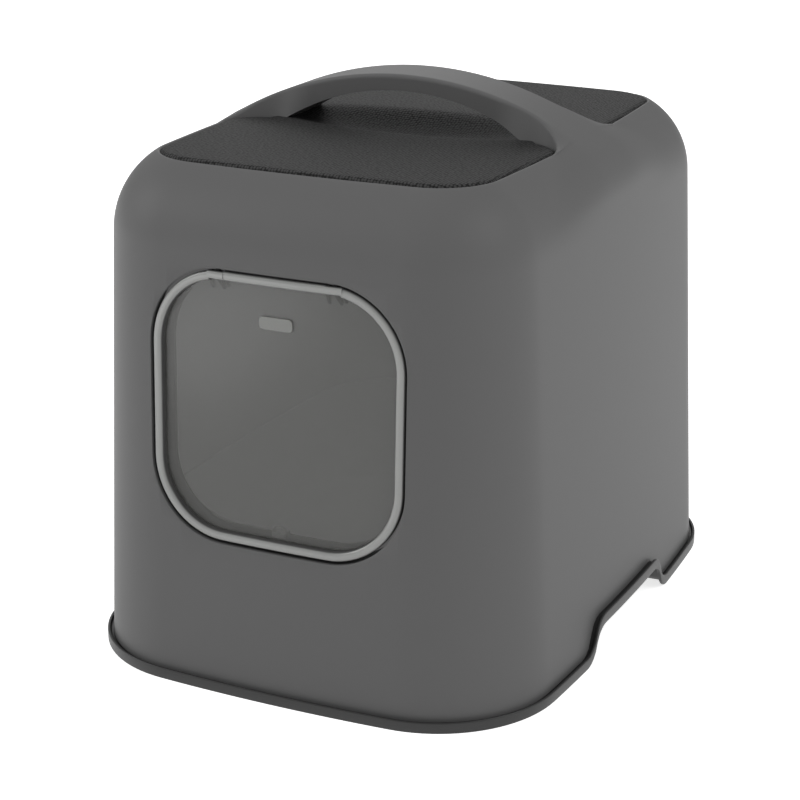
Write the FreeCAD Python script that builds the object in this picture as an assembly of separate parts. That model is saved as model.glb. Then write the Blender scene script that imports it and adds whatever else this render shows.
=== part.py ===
"""A hooded litter box: tray, lift-off hood with carry handle and roof pad, swing door and odour filter.

Millimetres. The origin is on the floor under the middle of the tray, +Z is up and the door faces -Y.
"""

import FreeCAD
import Part
import math
import os

Vec = FreeCAD.Vector
X_AXIS = Vec(1, 0, 0)
Y_AXIS = Vec(0, 1, 0)
Z_AXIS = Vec(0, 0, 1)

# Footprint of the tray's rim: four bowed sides joined by round corners
rim_width = 395.0
rim_depth = 515.0
rim_corner_radius = 101.0
rim_front_bow_radius = 1480.0
rim_side_bow_radius = 2350.0

# Tray: a tapered pan inside the hood, with a flange and an upstanding rim outside it
rim_height = 9.0
rim_wall = 2.4
channel_depth = 3.0
flange_thickness = 2.4
pan_wall = 2.5
pan_floor = 2.5
pan_hood_gap = 5.0
pan_draft_angle = 5.0
pan_sill_step = 26.0

# Finger grips: the rim rises in an S at both long sides
grip_rise = 26.0
grip_run = 36.0
grip_length = 112.0
grip_offset = -13.0

# Hood: a drafted shell with large round shoulders, standing in the rim's channel
hood_set_in = 5.0
hood_seat_gap = 0.3
hood_draft_angle = 2.57
hood_wall = 3.0
roof_height = 406.0
shoulder_radius = 70.0
shoulder_room_share = 0.95
roof_edge_inset = 55.0

# Carry handle: an arch over the roof whose feet flare into the shoulders
handle_rise = 32.0
handle_thickness = 14.0
handle_foot_step = 3.9
handle_foot_radius = 45.0
handle_opening_width = 202.0
handle_width = 48.0
handle_foot_width = 112.0
handle_flare_radius = 35.0
handle_tip_radius = 8.0
handle_top_round = 4.0

# Roof pad: a flat grained insert with a seat plate under the hood's edge and a finger trough
pad_drop = 9.0
pad_sink = 1.0
pad_edge_gap = 0.6
pad_seat_gap = 0.3
pad_plate = 2.2
pad_seat_width = 9.0
trough_depth = 15.0
trough_width = 86.0
trough_length = 240.0

# Door: a bead round a recessed clear window, in a collared opening
door_width = 207.0
door_height = 207.0
door_corner_radius = 60.0
door_head = 8.0
door_gap = 2.4
door_set_back = 1.2
bead_width = 7.0
bead_depth = 7.8
bead_round = 2.4
window_thickness = 2.0
window_seat_gap = 0.05
collar_wall = 2.5
collar_depth = 20.0
collar_rake_share = 0.4
badge_width = 27.0
badge_height = 9.5
badge_corner_radius = 2.0
badge_thickness = 0.8
badge_drop = 30.0

# Door hinges: pins in pairs of lugs on the door, carried by hooks on the hood
hinge_spacing = 96.0
hinge_pin_radius = 1.7
hinge_running_gap = 0.05
hook_width = 2.6
hook_wall = 1.5
hook_side_gap = 0.6
hook_seat_height = 14.0
hook_seat_width = 12.0
hook_seat_gap = 0.2
lug_thickness = 2.2
lug_reach = 8.0
lug_drop = 9.0

# Door catch: a clear block with a rearward tongue over a rib on the collar
catch_width = 11.0
catch_height = 5.0
tongue_width = 6.0
tongue_length = 13.0
tongue_thickness = 3.0
strike_width = 16.0
strike_length = 8.0
strike_gap = 0.9

# Odour filter under the rear of the roof: a grille holder that swings down for a new filter
holder_side_inset = 117.5
holder_rear_inset = 109.5
holder_trough_gap = 14.4
holder_height = 11.0
holder_wall = 2.0
holder_roof_gap = 4.0
grille_bar_width = 3.0
grille_bar_count = 9
filter_gap = 0.5
filter_thickness = 7.0
trunnion_radius = 2.0
trunnion_length = 4.0
bracket_thickness = 3.0
bracket_side_gap = 0.4
bracket_width = 10.0

# One overrun for every cut, and one tolerance for picking edges by their place
overrun = 40.0
edge_tolerance = 0.02

# Levels and insets that follow from the sizes above
flange_top = rim_height - channel_depth
hood_foot = flange_top + hood_seat_gap
hood_slope = math.tan(math.radians(hood_draft_angle))
handle_top = roof_height + handle_rise
roof_half_width = rim_width / 2 - roof_edge_inset
handle_opening_half = handle_opening_width / 2
door_top = roof_height - shoulder_radius - door_head
door_bottom = door_top - door_height
door_middle = (door_top + door_bottom) / 2
pan_height = door_bottom - pan_sill_step
pad_top = roof_height - pad_drop
pad_level = pad_sink
seat_level = hood_wall + pad_seat_gap
roof_plate_level = seat_level + pad_plate


def hood_inset(height):
    """How far the hood's outer face stands inside the rim's outer edge at a height."""
    return hood_set_in + (height - flange_top) * hood_slope


def front_face(height):
    """The y of the hood's outer face in the middle of the front at a height."""
    return hood_inset(height) - rim_depth / 2


def shoulder_height(inset):
    """The height of the hood's outer face at an inset from the rim, on its round shoulder."""
    lean = math.radians(hood_draft_angle)
    low = roof_height - shoulder_radius
    centre = hood_inset(low + shoulder_radius * math.sin(lean)) + shoulder_radius * math.cos(lean)
    across = max(centre - inset, 0)
    return low + math.sqrt(shoulder_radius ** 2 - across ** 2)


def bow_radius(half_chord, rise):
    """The radius of an arc from half the width of its chord and its rise over it."""
    return (half_chord ** 2 + rise ** 2) / (2 * rise)


handle_foot_level = shoulder_height(roof_edge_inset) + handle_foot_step
handle_arch_radius = bow_radius(roof_half_width, handle_top - handle_foot_level)
handle_under_radius = bow_radius(handle_opening_half, handle_top - handle_thickness - pad_top)
trough_radius = bow_radius(trough_width / 2, trough_depth)
trough_bow_radius = bow_radius(trough_length / 2, trough_depth)
trough_axis = pad_top - trough_depth + trough_radius
pan_top_inset = hood_inset(pan_height) + hood_wall + pan_hood_gap
pan_slope = math.tan(math.radians(pan_draft_angle))
pan_foot_inset = pan_top_inset + pan_height * pan_slope
hinge_height = door_top - bead_width / 2
hinge_depth = door_set_back + bead_depth / 2
hinge_line = front_face(hinge_height) + hinge_depth
window_depth = door_set_back + bead_depth - window_thickness


def arc(centre, radius, start, end, z=0.0):
    """An arc in a level plane, from one angle to another in radians."""
    def at(angle):
        return Vec(centre[0] + radius * math.cos(angle), centre[1] + radius * math.sin(angle), z)

    return Part.Arc(at(start), at((start + end) / 2), at(end)).toShape()


def corner_centre():
    """Centre of the rim's front right corner, tangent to the bowed front and the bowed side."""
    front = (0.0, rim_front_bow_radius - rim_depth / 2)
    side = (rim_width / 2 - rim_side_bow_radius, 0.0)
    to_front = rim_front_bow_radius - rim_corner_radius
    to_side = rim_side_bow_radius - rim_corner_radius
    dx = side[0] - front[0]
    dy = side[1] - front[1]
    span = math.hypot(dx, dy)
    along = (span ** 2 + to_front ** 2 - to_side ** 2) / (2 * span)
    across = math.sqrt(to_front ** 2 - along ** 2)
    return (
        front[0] + (dx * along - dy * across) / span,
        front[1] + (dy * along + dx * across) / span,
    )


def outline(inset, z):
    """The rim's outline moved inwards by an inset, as a closed wire at height z."""
    cx, cy = corner_centre()
    front_y = rim_front_bow_radius - rim_depth / 2
    side_x = rim_width / 2 - rim_side_bow_radius
    turn_front = math.atan2(cy - front_y, cx)
    turn_side = math.atan2(cy, cx - side_x)
    half = math.pi / 2
    front_radius = rim_front_bow_radius - inset
    side_radius = rim_side_bow_radius - inset
    corner_radius = rim_corner_radius - inset
    edges = [
        arc((0, front_y), front_radius, -2 * half - turn_front, turn_front, z),
        arc((cx, cy), corner_radius, turn_front, turn_side, z),
        arc((side_x, 0), side_radius, turn_side, -turn_side, z),
        arc((cx, -cy), corner_radius, -turn_side, -turn_front, z),
        arc((0, -front_y), front_radius, -turn_front, 2 * half + turn_front, z),
        arc((-cx, -cy), corner_radius, 2 * half + turn_front, 2 * half + turn_side, z),
        arc((-side_x, 0), side_radius, 2 * half + turn_side, 2 * half - turn_side, z),
        arc((-cx, cy), corner_radius, 2 * half - turn_side, 2 * half - turn_front, z),
    ]
    return Part.Wire(edges)


def prism(inset, low, high):
    """An upright block with the rim's outline moved inwards."""
    return Part.Face(outline(inset, low)).extrude(Z_AXIS * (high - low))


def taper(low_inset, low, high_inset, high):
    """A block whose outline changes evenly from one height to another."""
    return Part.makeLoft([outline(low_inset, low), outline(high_inset, high)], True, True)


def block(low, high):
    """A box between two corners."""
    return Part.makeBox(high[0] - low[0], high[1] - low[1], high[2] - low[2], Vec(*low))


def hood_form(depth):
    """The hood's solid form, shrunk by a depth measured in from its outer face."""
    low = -overrun
    high = roof_height - depth
    body = taper(hood_inset(low) + depth, low, hood_inset(high) + depth, high)
    room = rim_corner_radius - hood_inset(high) - depth
    radius = min(shoulder_radius - depth, room * shoulder_room_share)
    top = [edge for edge in body.Edges if edge.BoundBox.ZMin > high - radius / 2]
    return body.makeFillet(radius, top)


def flat_height(depth):
    """The height of the pad's flat top, or of a face that lies a depth under the hood's outer face."""
    return pad_top - (depth - pad_level)


def flat_form(depth):
    """The hood's form at a depth, cut off flat for the roof pad."""
    half = rim_depth / 2 + overrun
    return hood_form(depth).common(block((-half, -half, -overrun), (half, half, flat_height(depth))))


def rounded_square(width, height, radius, centre_z):
    """A rounded rectangle in the upright plane y = 0, as a face."""
    x = width / 2
    z = height / 2
    corners = ((x, z), (-x, z), (-x, -z), (x, -z))
    edges = []
    for index, (cx, cz) in enumerate(corners):
        start = index * math.pi / 2
        middle = Vec(cx - math.copysign(radius, cx), 0, centre_z + cz - math.copysign(radius, cz))
        points = []
        for part in (0, 0.5, 1):
            angle = start + part * math.pi / 2
            points.append(middle + Vec(radius * math.cos(angle), 0, radius * math.sin(angle)))
        if edges:
            edges.append(Part.LineSegment(edges[-1].lastVertex().Point, points[0]).toShape())
        edges.append(Part.Arc(*points).toShape())
    edges.append(Part.LineSegment(edges[-1].lastVertex().Point, edges[0].firstVertex().Point).toShape())
    return Part.Face(Part.Wire(edges))


def door_prism(margin):
    """A front-to-back block with the door's outline grown by a margin, through the front wall only."""
    face = rounded_square(
        door_width + 2 * margin, door_height + 2 * margin, door_corner_radius + margin, door_middle
    )
    face.translate(Vec(0, -rim_depth / 2 - overrun, 0))
    return face.extrude(Y_AXIS * (rim_depth / 2))


def wave_edges(rise):
    """The rim's wavy line along a side, moved off its lower edge by a rise, from front to rear."""
    turn = 2 * math.atan2(grip_rise, grip_run)
    radius = grip_run / (2 * math.sin(turn))
    end = rim_depth / 2 + overrun
    foot = grip_offset - grip_length / 2 - grip_run
    crest = grip_offset - grip_length / 2
    half = math.pi / 2

    def on(y, z):
        return Vec(0, y, z)

    def bend(y, z, reach, start, finish):
        places = []
        for angle in (start, (start + finish) / 2, finish):
            places.append(on(y + reach * math.cos(angle), z + reach * math.sin(angle)))
        return Part.Arc(*places).toShape()

    def mirrored(y):
        return 2 * grip_offset - y

    low = radius - rise
    high = radius + rise
    top = grip_rise - radius
    return [
        Part.LineSegment(on(-end, rise), on(foot, rise)).toShape(),
        bend(foot, radius, low, -half, -half + turn),
        bend(crest, top, high, half + turn, half),
        Part.LineSegment(on(crest, top + high), on(mirrored(crest), top + high)).toShape(),
        bend(mirrored(crest), top, high, half, half - turn),
        bend(mirrored(foot), radius, low, -half - turn, -half),
        Part.LineSegment(on(mirrored(foot), rise), on(end, rise)).toShape(),
    ]


def wave_band(low, high):
    """A slab right across the tray between two wavy lines, or down past the floor with no low line."""
    edges = wave_edges(high)
    first = edges[0].firstVertex().Point
    last = edges[-1].lastVertex().Point
    if low is None:
        bottom_first = Vec(0, first.y, -2 * overrun)
        bottom_last = Vec(0, last.y, -2 * overrun)
        lower = [Part.LineSegment(bottom_first, bottom_last).toShape()]
    else:
        lower = wave_edges(low)
        bottom_first = lower[0].firstVertex().Point
        bottom_last = lower[-1].lastVertex().Point
    sides = [
        Part.LineSegment(first, bottom_first).toShape(),
        Part.LineSegment(last, bottom_last).toShape(),
    ]
    wire = Part.Wire(Part.__sortEdges__(edges + lower + sides))
    half = rim_width / 2 + overrun
    face = Part.Face(wire)
    face.translate(X_AXIS * -half)
    return face.extrude(X_AXIS * 2 * half)


def litter_tray():
    """Pan, flange and rim in one moulding."""
    tall = rim_height + grip_rise + overrun
    rim = prism(0, 0, tall).cut(prism(rim_wall, -overrun, tall + overrun))
    rim = rim.common(wave_band(0, rim_height))
    flange = prism(rim_wall / 2, 0, tall).common(wave_band(flange_top - flange_thickness, flange_top))
    pan = taper(pan_foot_inset, 0, pan_top_inset, pan_height)
    floor_inset = pan_foot_inset - pan_floor * pan_slope + pan_wall
    mouth = pan_height + overrun
    mouth_inset = pan_top_inset - overrun * pan_slope + pan_wall
    inside = taper(floor_inset, pan_floor, mouth_inset, mouth)
    return rim.fuse([flange, pan]).cut(inside).removeSplitter()


def handle_plan(margin):
    """The handle seen from above, grown by a margin: straight over the middle, flared at both feet."""
    half = handle_width / 2 + margin
    foot = handle_foot_width / 2 + margin
    inner = handle_flare_radius - margin
    outer = handle_tip_radius + margin
    turn = math.acos(1 - (foot - half) / (inner + outer))
    tip = roof_half_width
    start = tip - (inner + outer) * math.sin(turn)
    end = rim_width / 2 + overrun

    def flare(side, face, angle):
        x = start + inner * math.sin(angle)
        y = half + inner * (1 - math.cos(angle))
        return Vec(side * x, face * y, 0)

    def round_off(side, face, angle):
        return Vec(side * (tip - outer * math.sin(angle)), face * (foot - outer * (1 - math.cos(angle))), 0)

    def line(a, b):
        return Part.LineSegment(Vec(*a, 0), Vec(*b, 0)).toShape()

    edges = []
    for face in (1, -1):
        edges.append(line((-start, face * half), (start, face * half)))
        for side in (1, -1):
            swings = (0, turn / 2, turn)
            edges.append(Part.Arc(*[flare(side, face, angle) for angle in swings]).toShape())
            edges.append(Part.Arc(*[round_off(side, face, angle) for angle in swings]).toShape())
            edges.append(line((side * tip, face * foot), (side * end, face * foot)))
    for side in (1, -1):
        edges.append(line((side * end, -foot), (side * end, foot)))
    return Part.Face(Part.Wire(Part.__sortEdges__(edges)))


def handle_arch():
    """The space under the handle's outer line, which runs tangent into both side walls."""
    arch_centre = handle_top - handle_arch_radius
    reach = handle_arch_radius - handle_foot_radius
    lean = math.radians(hood_draft_angle)
    # The foot circle touches the arch inside and the leaning wall: solved by stepping its height
    foot_z = arch_centre + reach
    for _ in range(30):
        wall_x = rim_width / 2 - hood_inset(foot_z)
        foot_x = wall_x - handle_foot_radius / math.cos(lean)
        foot_z = arch_centre + math.sqrt(reach ** 2 - foot_x ** 2)
    rise = math.atan2(foot_z - arch_centre, foot_x)

    def on(x, z):
        return Vec(x, 0, z)

    def foot_point(side, angle):
        x = foot_x + handle_foot_radius * math.cos(angle)
        return on(side * x, foot_z + handle_foot_radius * math.sin(angle))

    low = foot_z - handle_foot_radius
    base_x = rim_width / 2 - hood_inset(low)
    edges = [
        Part.Arc(foot_point(-1, rise), on(0, handle_top), foot_point(1, rise)).toShape(),
        Part.LineSegment(on(-base_x, low), on(base_x, low)).toShape(),
    ]
    for side in (1, -1):
        corner = foot_point(side, lean)
        bend = foot_point(side, (rise + lean) / 2)
        edges.append(Part.Arc(foot_point(side, rise), bend, corner).toShape())
        edges.append(Part.LineSegment(corner, on(side * base_x, low)).toShape())
    face = Part.Face(Part.Wire(Part.__sortEdges__(edges)))
    face.translate(Y_AXIS * -handle_foot_width)
    return face.extrude(Y_AXIS * 2 * handle_foot_width)


def under_arch():
    """The round space under the handle, between its feet."""
    middle = handle_top - handle_thickness - handle_under_radius
    start = Vec(0, -handle_foot_width, middle)
    round_space = Part.makeCylinder(handle_under_radius, 2 * handle_foot_width, start, Y_AXIS)
    between_feet = block(
        (-handle_opening_half, -handle_foot_width, 0),
        (handle_opening_half, handle_foot_width, handle_top),
    )
    return round_space.common(between_feet)


def long_edges(shape):
    """The edges that run along the handle rather than across it or upright."""
    boxes = [(edge, edge.BoundBox) for edge in shape.Edges]
    return [edge for edge, box in boxes if box.XLength > box.YLength and box.XLength > edge_tolerance]


def carry_handle():
    """The arch, with feet that take the place of the hood's shoulders under them."""
    plan = handle_plan(0).extrude(Z_AXIS * (handle_top + overrun))
    arch = handle_arch().common(plan)
    low = arch.BoundBox.ZMin + edge_tolerance
    arch = arch.makeFillet(handle_top_round, [e for e in long_edges(arch) if middle_of(e).z > low])
    return arch.cut(under_arch()).cut(flat_form(hood_wall))


def hood_shell(handle):
    """Drafted shell with the roof opening, the door opening and a lower edge that follows the rim."""
    shell = hood_form(0).cut(hood_form(hood_wall))
    below = wave_band(None, hood_foot)
    roof_hole = prism(roof_edge_inset, roof_height - shoulder_radius, roof_height + overrun)
    for cutter in (roof_hole, handle, below, door_prism(door_gap)):
        shell = shell.cut(cutter)
    return shell


def trough(growth):
    """The spindle that hollows the finger trough, grown by a wall."""
    reach = trough_radius + growth
    half = math.sqrt(reach * (2 * (trough_bow_radius + growth) - reach))
    left = Vec(-half, 0, trough_axis)
    right = Vec(half, 0, trough_axis)
    bow = Part.Arc(left, Vec(0, 0, trough_axis - reach), right).toShape()
    face = Part.Face(Part.Wire([bow, Part.LineSegment(right, left).toShape()]))
    return face.revolve(Vec(0, 0, trough_axis), X_AXIS, 360)


def roof_pad():
    """Flat grained top that fills the roof opening, on a seat plate that lies under the hood's edge."""
    low = roof_height - shoulder_radius
    high = roof_height + overrun
    top = flat_form(pad_level).cut(flat_form(seat_level))
    top = top.common(prism(roof_edge_inset + pad_edge_gap, low, high))
    clear = handle_opening_half - pad_edge_gap
    end = rim_width / 2 + 2 * overrun
    for side in (-1, 1):
        near, far = sorted((side * clear, side * end))
        foot = block((near, -rim_depth, low), (far, rim_depth, high))
        feet = handle_plan(pad_edge_gap).extrude(Z_AXIS * high)
        top = top.cut(feet.common(foot))
    plate = flat_form(seat_level).cut(flat_form(roof_plate_level))
    plate = plate.common(prism(roof_edge_inset - pad_seat_width, low, high))
    bowl = trough(pad_plate).common(flat_form(seat_level))
    return top.fuse([plate, bowl]).cut(trough(0)).removeSplitter()


def door_slice(near, far, face_margin_out, face_margin_in=None):
    """A slice of the front between two depths, inside the door's outline and outside an inner one."""
    front = hood_form(near).cut(hood_form(far)).common(door_prism(face_margin_out))
    if face_margin_in is not None:
        front = front.cut(door_prism(face_margin_in))
    return front


def hinge_places():
    """The x of the middle of each hinge, left then right."""
    return {"left": -hinge_spacing / 2, "right": hinge_spacing / 2}


def hinge_gap_half():
    """Half the width of the notch in the bead at a hinge."""
    return hook_width / 2 + hook_side_gap + lug_thickness


def middle_of(edge):
    """The point half way along an edge."""
    return edge.valueAt((edge.FirstParameter + edge.LastParameter) / 2)


def on_door_outline(edge):
    """Whether an edge runs round the door's outline."""
    point = middle_of(edge)
    dx = abs(point.x) - (door_width / 2 - door_corner_radius)
    dz = abs(point.z - door_middle) - (door_height / 2 - door_corner_radius)
    off = math.hypot(max(dx, 0), max(dz, 0)) - door_corner_radius
    box = edge.BoundBox
    return abs(off) < edge_tolerance and box.YLength < max(box.XLength, box.ZLength)


def door_frame():
    """The bead, notched at both hinges."""
    bead = door_slice(door_set_back, door_set_back + bead_depth, 0, -bead_width)
    bead = bead.makeFillet(bead_round, [edge for edge in bead.Edges if on_door_outline(edge)])
    half = hinge_gap_half()
    for x in hinge_places().values():
        low = (x - half, -rim_depth, hinge_height - bead_width)
        high = (x + half, 0, door_top + bead_width)
        bead = bead.cut(block(low, high))
    return bead


def door_window():
    """The clear panel at the back of the bead."""
    far = door_set_back + bead_depth
    return door_slice(far - window_thickness, far, -bead_width - window_seat_gap)


def badge_plate():
    """A small bare plate on the window's front face."""
    level = door_top - badge_drop - badge_height / 2
    face = rounded_square(badge_width, badge_height, badge_corner_radius, level)
    face.translate(Vec(0, -rim_depth / 2 - overrun, 0))
    cutter = face.extrude(Y_AXIS * (rim_depth / 2))
    return hood_form(window_depth - badge_thickness).cut(hood_form(window_depth)).common(cutter)


def door_collar():
    """A collar behind the door opening, raked off at the top so that the door can swing in."""
    front = hood_form(hood_wall).cut(hood_form(hood_wall + collar_depth))
    ring = front.common(door_prism(door_gap + collar_wall)).cut(door_prism(door_gap))
    back = hinge_line + overrun + collar_depth + 2 * bead_depth
    drop = (back - hinge_line) / collar_rake_share
    top = door_top + overrun
    rake = Part.Face(Part.makePolygon([
        Vec(0, hinge_line - hinge_depth, hinge_height),
        Vec(0, back, hinge_height - drop),
        Vec(0, back, top),
        Vec(0, hinge_line - hinge_depth - overrun, top),
        Vec(0, hinge_line - hinge_depth - overrun, hinge_height),
        Vec(0, hinge_line - hinge_depth, hinge_height),
    ]))
    rake.translate(X_AXIS * -door_width)
    return ring.cut(rake.extrude(X_AXIS * 2 * door_width))


def cylinder(radius, start_x, end_x, y=None, z=None):
    """A round bar along X, on the door's hinge line unless another place is given."""
    y = hinge_line if y is None else y
    z = hinge_height if z is None else z
    return Part.makeCylinder(radius, end_x - start_x, Vec(start_x, y, z), X_AXIS)


def hinge_pin(x):
    """The pin of one hinge, through both lugs."""
    half = hinge_gap_half()
    return cylinder(hinge_pin_radius, x - half, x + half)


def hinge_lugs(x):
    """Two lugs that hold the pin between the ends of the notched bead, with gussets behind the window."""
    half = hinge_gap_half()
    window = door_window()
    round_radius = bead_width / 2
    back = hinge_line + bead_depth / 2
    low = hinge_height - round_radius - lug_drop
    gusset = Part.Face(Part.makePolygon([
        Vec(0, hinge_line, hinge_height + round_radius),
        Vec(0, hinge_line, hinge_height - round_radius),
        Vec(0, back, hinge_height - round_radius),
        Vec(0, back + lug_reach, low),
        Vec(0, back + lug_reach, low + lug_thickness),
        Vec(0, hinge_line + round_radius, hinge_height),
        Vec(0, hinge_line, hinge_height + round_radius),
    ]))
    lugs = []
    for start in (x - half, x + half - lug_thickness):
        plate = gusset.copy()
        plate.translate(X_AXIS * start)
        lug = plate.extrude(X_AXIS * lug_thickness)
        lug = lug.fuse(cylinder(round_radius, start, start + lug_thickness))
        hole = cylinder(hinge_pin_radius + hinge_running_gap, start - overrun, start + overrun)
        lugs.append(lug.cut(hole).cut(window).removeSplitter())
    return Part.makeCompound(lugs)


def hinge_hook(x):
    """A hood-side hook that reaches down from a seat on the inner wall and holds the pin."""
    start = x - hook_width / 2
    inner = hinge_pin_radius + hinge_running_gap
    outer = inner + hook_wall
    seat_low = door_top + door_gap + bead_depth
    seat_front = front_face(seat_low) + hood_wall
    eye = cylinder(outer, start, start + hook_width)
    stem = block(
        (start, hinge_line, hinge_height),
        (start + hook_width, hinge_line + outer, seat_low + hook_seat_height),
    )
    hole = cylinder(inner, start - overrun, start + hook_width + overrun)
    seat = block(
        (x - hook_seat_width / 2, seat_front - hood_wall, seat_low),
        (x + hook_seat_width / 2, hinge_line + outer, seat_low + hook_seat_height),
    )
    hook = eye.fuse([stem, seat]).cut(hole)
    return hook.common(hood_form(hood_wall + hook_seat_gap)).removeSplitter()


def door_catch():
    """A clear block on the bottom of the bead with a rounded tongue that reaches back over the strike."""
    low = door_bottom + bead_width
    back = front_face(low) + door_set_back + bead_depth
    foot = block(
        (-catch_width / 2, back, low),
        (catch_width / 2, back + window_thickness, low + catch_height),
    )
    tongue_end = back + tongue_length
    middle = low + tongue_thickness / 2
    tongue = block(
        (-tongue_width / 2, back, low),
        (tongue_width / 2, tongue_end - tongue_thickness / 2, low + tongue_thickness),
    )
    tip = cylinder(tongue_thickness / 2, -tongue_width / 2, tongue_width / 2,
                   tongue_end - tongue_thickness / 2, middle)
    return foot.fuse([tongue, tip]).cut(hood_form(door_set_back).cut(hood_form(door_set_back + bead_depth)))


def catch_strike():
    """The low plate on the collar's floor that the tongue stands over."""
    floor = door_bottom - door_gap
    tongue_end = front_face(door_bottom + bead_width) + door_set_back + bead_depth + tongue_length
    top = door_bottom - strike_gap
    return block(
        (-strike_width / 2, tongue_end - strike_length - tongue_thickness, floor),
        (strike_width / 2, tongue_end - tongue_thickness, top),
    )


roof_underside = flat_height(roof_plate_level)
holder_top = roof_underside - holder_roof_gap
holder_low = holder_top - holder_height
bowl_half_width = math.sqrt((trough_radius + pad_plate) ** 2 - (trough_axis - roof_underside) ** 2)
holder_width = rim_width - 2 * holder_side_inset
holder_front = bowl_half_width + holder_trough_gap
holder_rear = rim_depth / 2 - holder_rear_inset
trunnion_y = holder_rear + 2 * trunnion_radius
trunnion_z = holder_low + holder_height / 2


def filter_holder():
    """A shallow grille tray with two ears and trunnions at its rear."""
    x = holder_width / 2
    tray = block((-x, holder_front, holder_low), (x, holder_rear, holder_top))
    inside = block(
        (-x + holder_wall, holder_front + holder_wall, holder_low + holder_wall),
        (x - holder_wall, holder_rear - holder_wall, holder_top + overrun),
    )
    tray = tray.cut(inside)
    clear = holder_width - 2 * holder_wall
    slot = (clear - (grille_bar_count - 1) * grille_bar_width) / grille_bar_count
    for index in range(grille_bar_count):
        left = -clear / 2 + index * (slot + grille_bar_width)
        low = (left, holder_front + 2 * holder_wall, holder_low - overrun)
        high = (left + slot, holder_rear - 2 * holder_wall, holder_low + 2 * holder_wall)
        tray = tray.cut(block(low, high))
    extras = []
    for side in (-1, 1):
        inner, outer = sorted((side * (x - holder_wall), side * x))
        extras.append(block(
            (inner, holder_rear - holder_wall, trunnion_z - 2 * trunnion_radius),
            (outer, trunnion_y + 2 * trunnion_radius, trunnion_z + 2 * trunnion_radius),
        ))
        inner, outer = sorted((side * (x - holder_wall), side * (x + trunnion_length)))
        extras.append(cylinder(trunnion_radius, inner, outer, trunnion_y, trunnion_z))
    return tray.fuse(extras).removeSplitter()


def carbon_filter():
    """The filter mat in the holder."""
    x = holder_width / 2 - holder_wall - filter_gap
    low = holder_low + holder_wall
    return block(
        (-x, holder_front + holder_wall + filter_gap, low),
        (x, holder_rear - holder_wall - filter_gap, low + filter_thickness),
    )


def filter_brackets():
    """Two plates under the roof that carry the holder's trunnions."""
    plates = []
    for side in (-1, 1):
        near = side * (holder_width / 2 + bracket_side_gap)
        inner, outer = sorted((near, near + side * bracket_thickness))
        plate = block(
            (inner, trunnion_y - bracket_width / 2, trunnion_z - bracket_width / 2),
            (outer, trunnion_y + bracket_width / 2, roof_underside),
        )
        hole = cylinder(trunnion_radius + hinge_running_gap, -rim_width, rim_width, trunnion_y, trunnion_z)
        plates.append(plate.cut(hole))
    return Part.makeCompound(plates)


def build():
    """Every sub-part by its node's name."""
    handle = carry_handle()
    parts = {
        "litter_tray": litter_tray(),
        "hood_shell": hood_shell(handle),
        "carry_handle": handle,
        "door_collar": door_collar(),
        "roof_pad": roof_pad(),
        "door_frame": door_frame(),
        "door_window": door_window(),
        "badge_plate": badge_plate(),
        "door_catch": door_catch(),
        "catch_strike": catch_strike(),
        "filter_holder": filter_holder(),
        "carbon_filter": carbon_filter(),
        "filter_brackets": filter_brackets(),
    }
    for side, x in hinge_places().items():
        parts["hinge_pin_" + side] = hinge_pin(x)
        parts["hinge_lugs_" + side] = hinge_lugs(x)
        parts["hinge_hook_" + side] = hinge_hook(x)
    return parts


os.makedirs("parts", exist_ok=True)
for name, shape in build().items():
    shape.exportStep("parts/" + name + ".step")
    print(name, "solids", len(shape.Solids), "volume", round(shape.Volume), "valid", shape.isValid())
print("hinge line", round(hinge_line, 3), round(hinge_height, 3))
print("filter line", round(trunnion_y, 3), round(trunnion_z, 3))
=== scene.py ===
"""A hooded litter box dressed for looks: one smooth hood with its carry handle, a grained roof pad,
a rounded tray rim and a clear swing door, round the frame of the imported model. Metres throughout.
"""

import math

import bmesh
import bpy
import numpy as np
from bpy.props import FloatProperty, FloatVectorProperty, PointerProperty, StringProperty
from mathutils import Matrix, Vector
from mathutils.geometry import delaunay_2d_cdt


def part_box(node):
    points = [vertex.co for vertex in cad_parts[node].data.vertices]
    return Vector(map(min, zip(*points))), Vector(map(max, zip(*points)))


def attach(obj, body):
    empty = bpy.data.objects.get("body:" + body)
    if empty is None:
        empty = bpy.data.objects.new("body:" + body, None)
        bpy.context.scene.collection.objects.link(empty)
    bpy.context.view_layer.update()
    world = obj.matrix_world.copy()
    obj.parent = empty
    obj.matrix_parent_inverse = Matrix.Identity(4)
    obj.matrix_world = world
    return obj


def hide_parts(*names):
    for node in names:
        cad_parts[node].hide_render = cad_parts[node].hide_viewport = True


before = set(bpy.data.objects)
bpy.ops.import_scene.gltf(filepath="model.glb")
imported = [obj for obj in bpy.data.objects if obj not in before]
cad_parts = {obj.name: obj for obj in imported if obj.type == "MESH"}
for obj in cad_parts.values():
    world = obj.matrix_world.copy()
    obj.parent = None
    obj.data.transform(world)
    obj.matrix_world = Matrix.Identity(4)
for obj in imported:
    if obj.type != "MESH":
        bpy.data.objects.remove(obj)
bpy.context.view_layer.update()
TRAY_LOW, TRAY_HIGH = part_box("litter_tray")
HANDLE_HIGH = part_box("carry_handle")[1]
PAD_LOW, PAD_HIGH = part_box("roof_pad")
DOOR_LOW, DOOR_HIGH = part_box("door_frame")
BADGE_LOW, BADGE_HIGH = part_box("badge_plate")
PIN_LOW, PIN_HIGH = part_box("hinge_pin_right")

bl_info = {
    "name": "Hooded Litter Box",
    "version": (1, 0, 0),
    "blender": (4, 5, 0),
    "location": "View3D > Sidebar > Litter Box",
    "description": "Dresses a hooded litter box with a swing door and a carry handle",
    "category": "Add Mesh",
}


def length(name, description, default):
    """A size in metres."""
    return FloatProperty(name=name, description=description, default=default, unit="LENGTH", precision=5)


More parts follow.
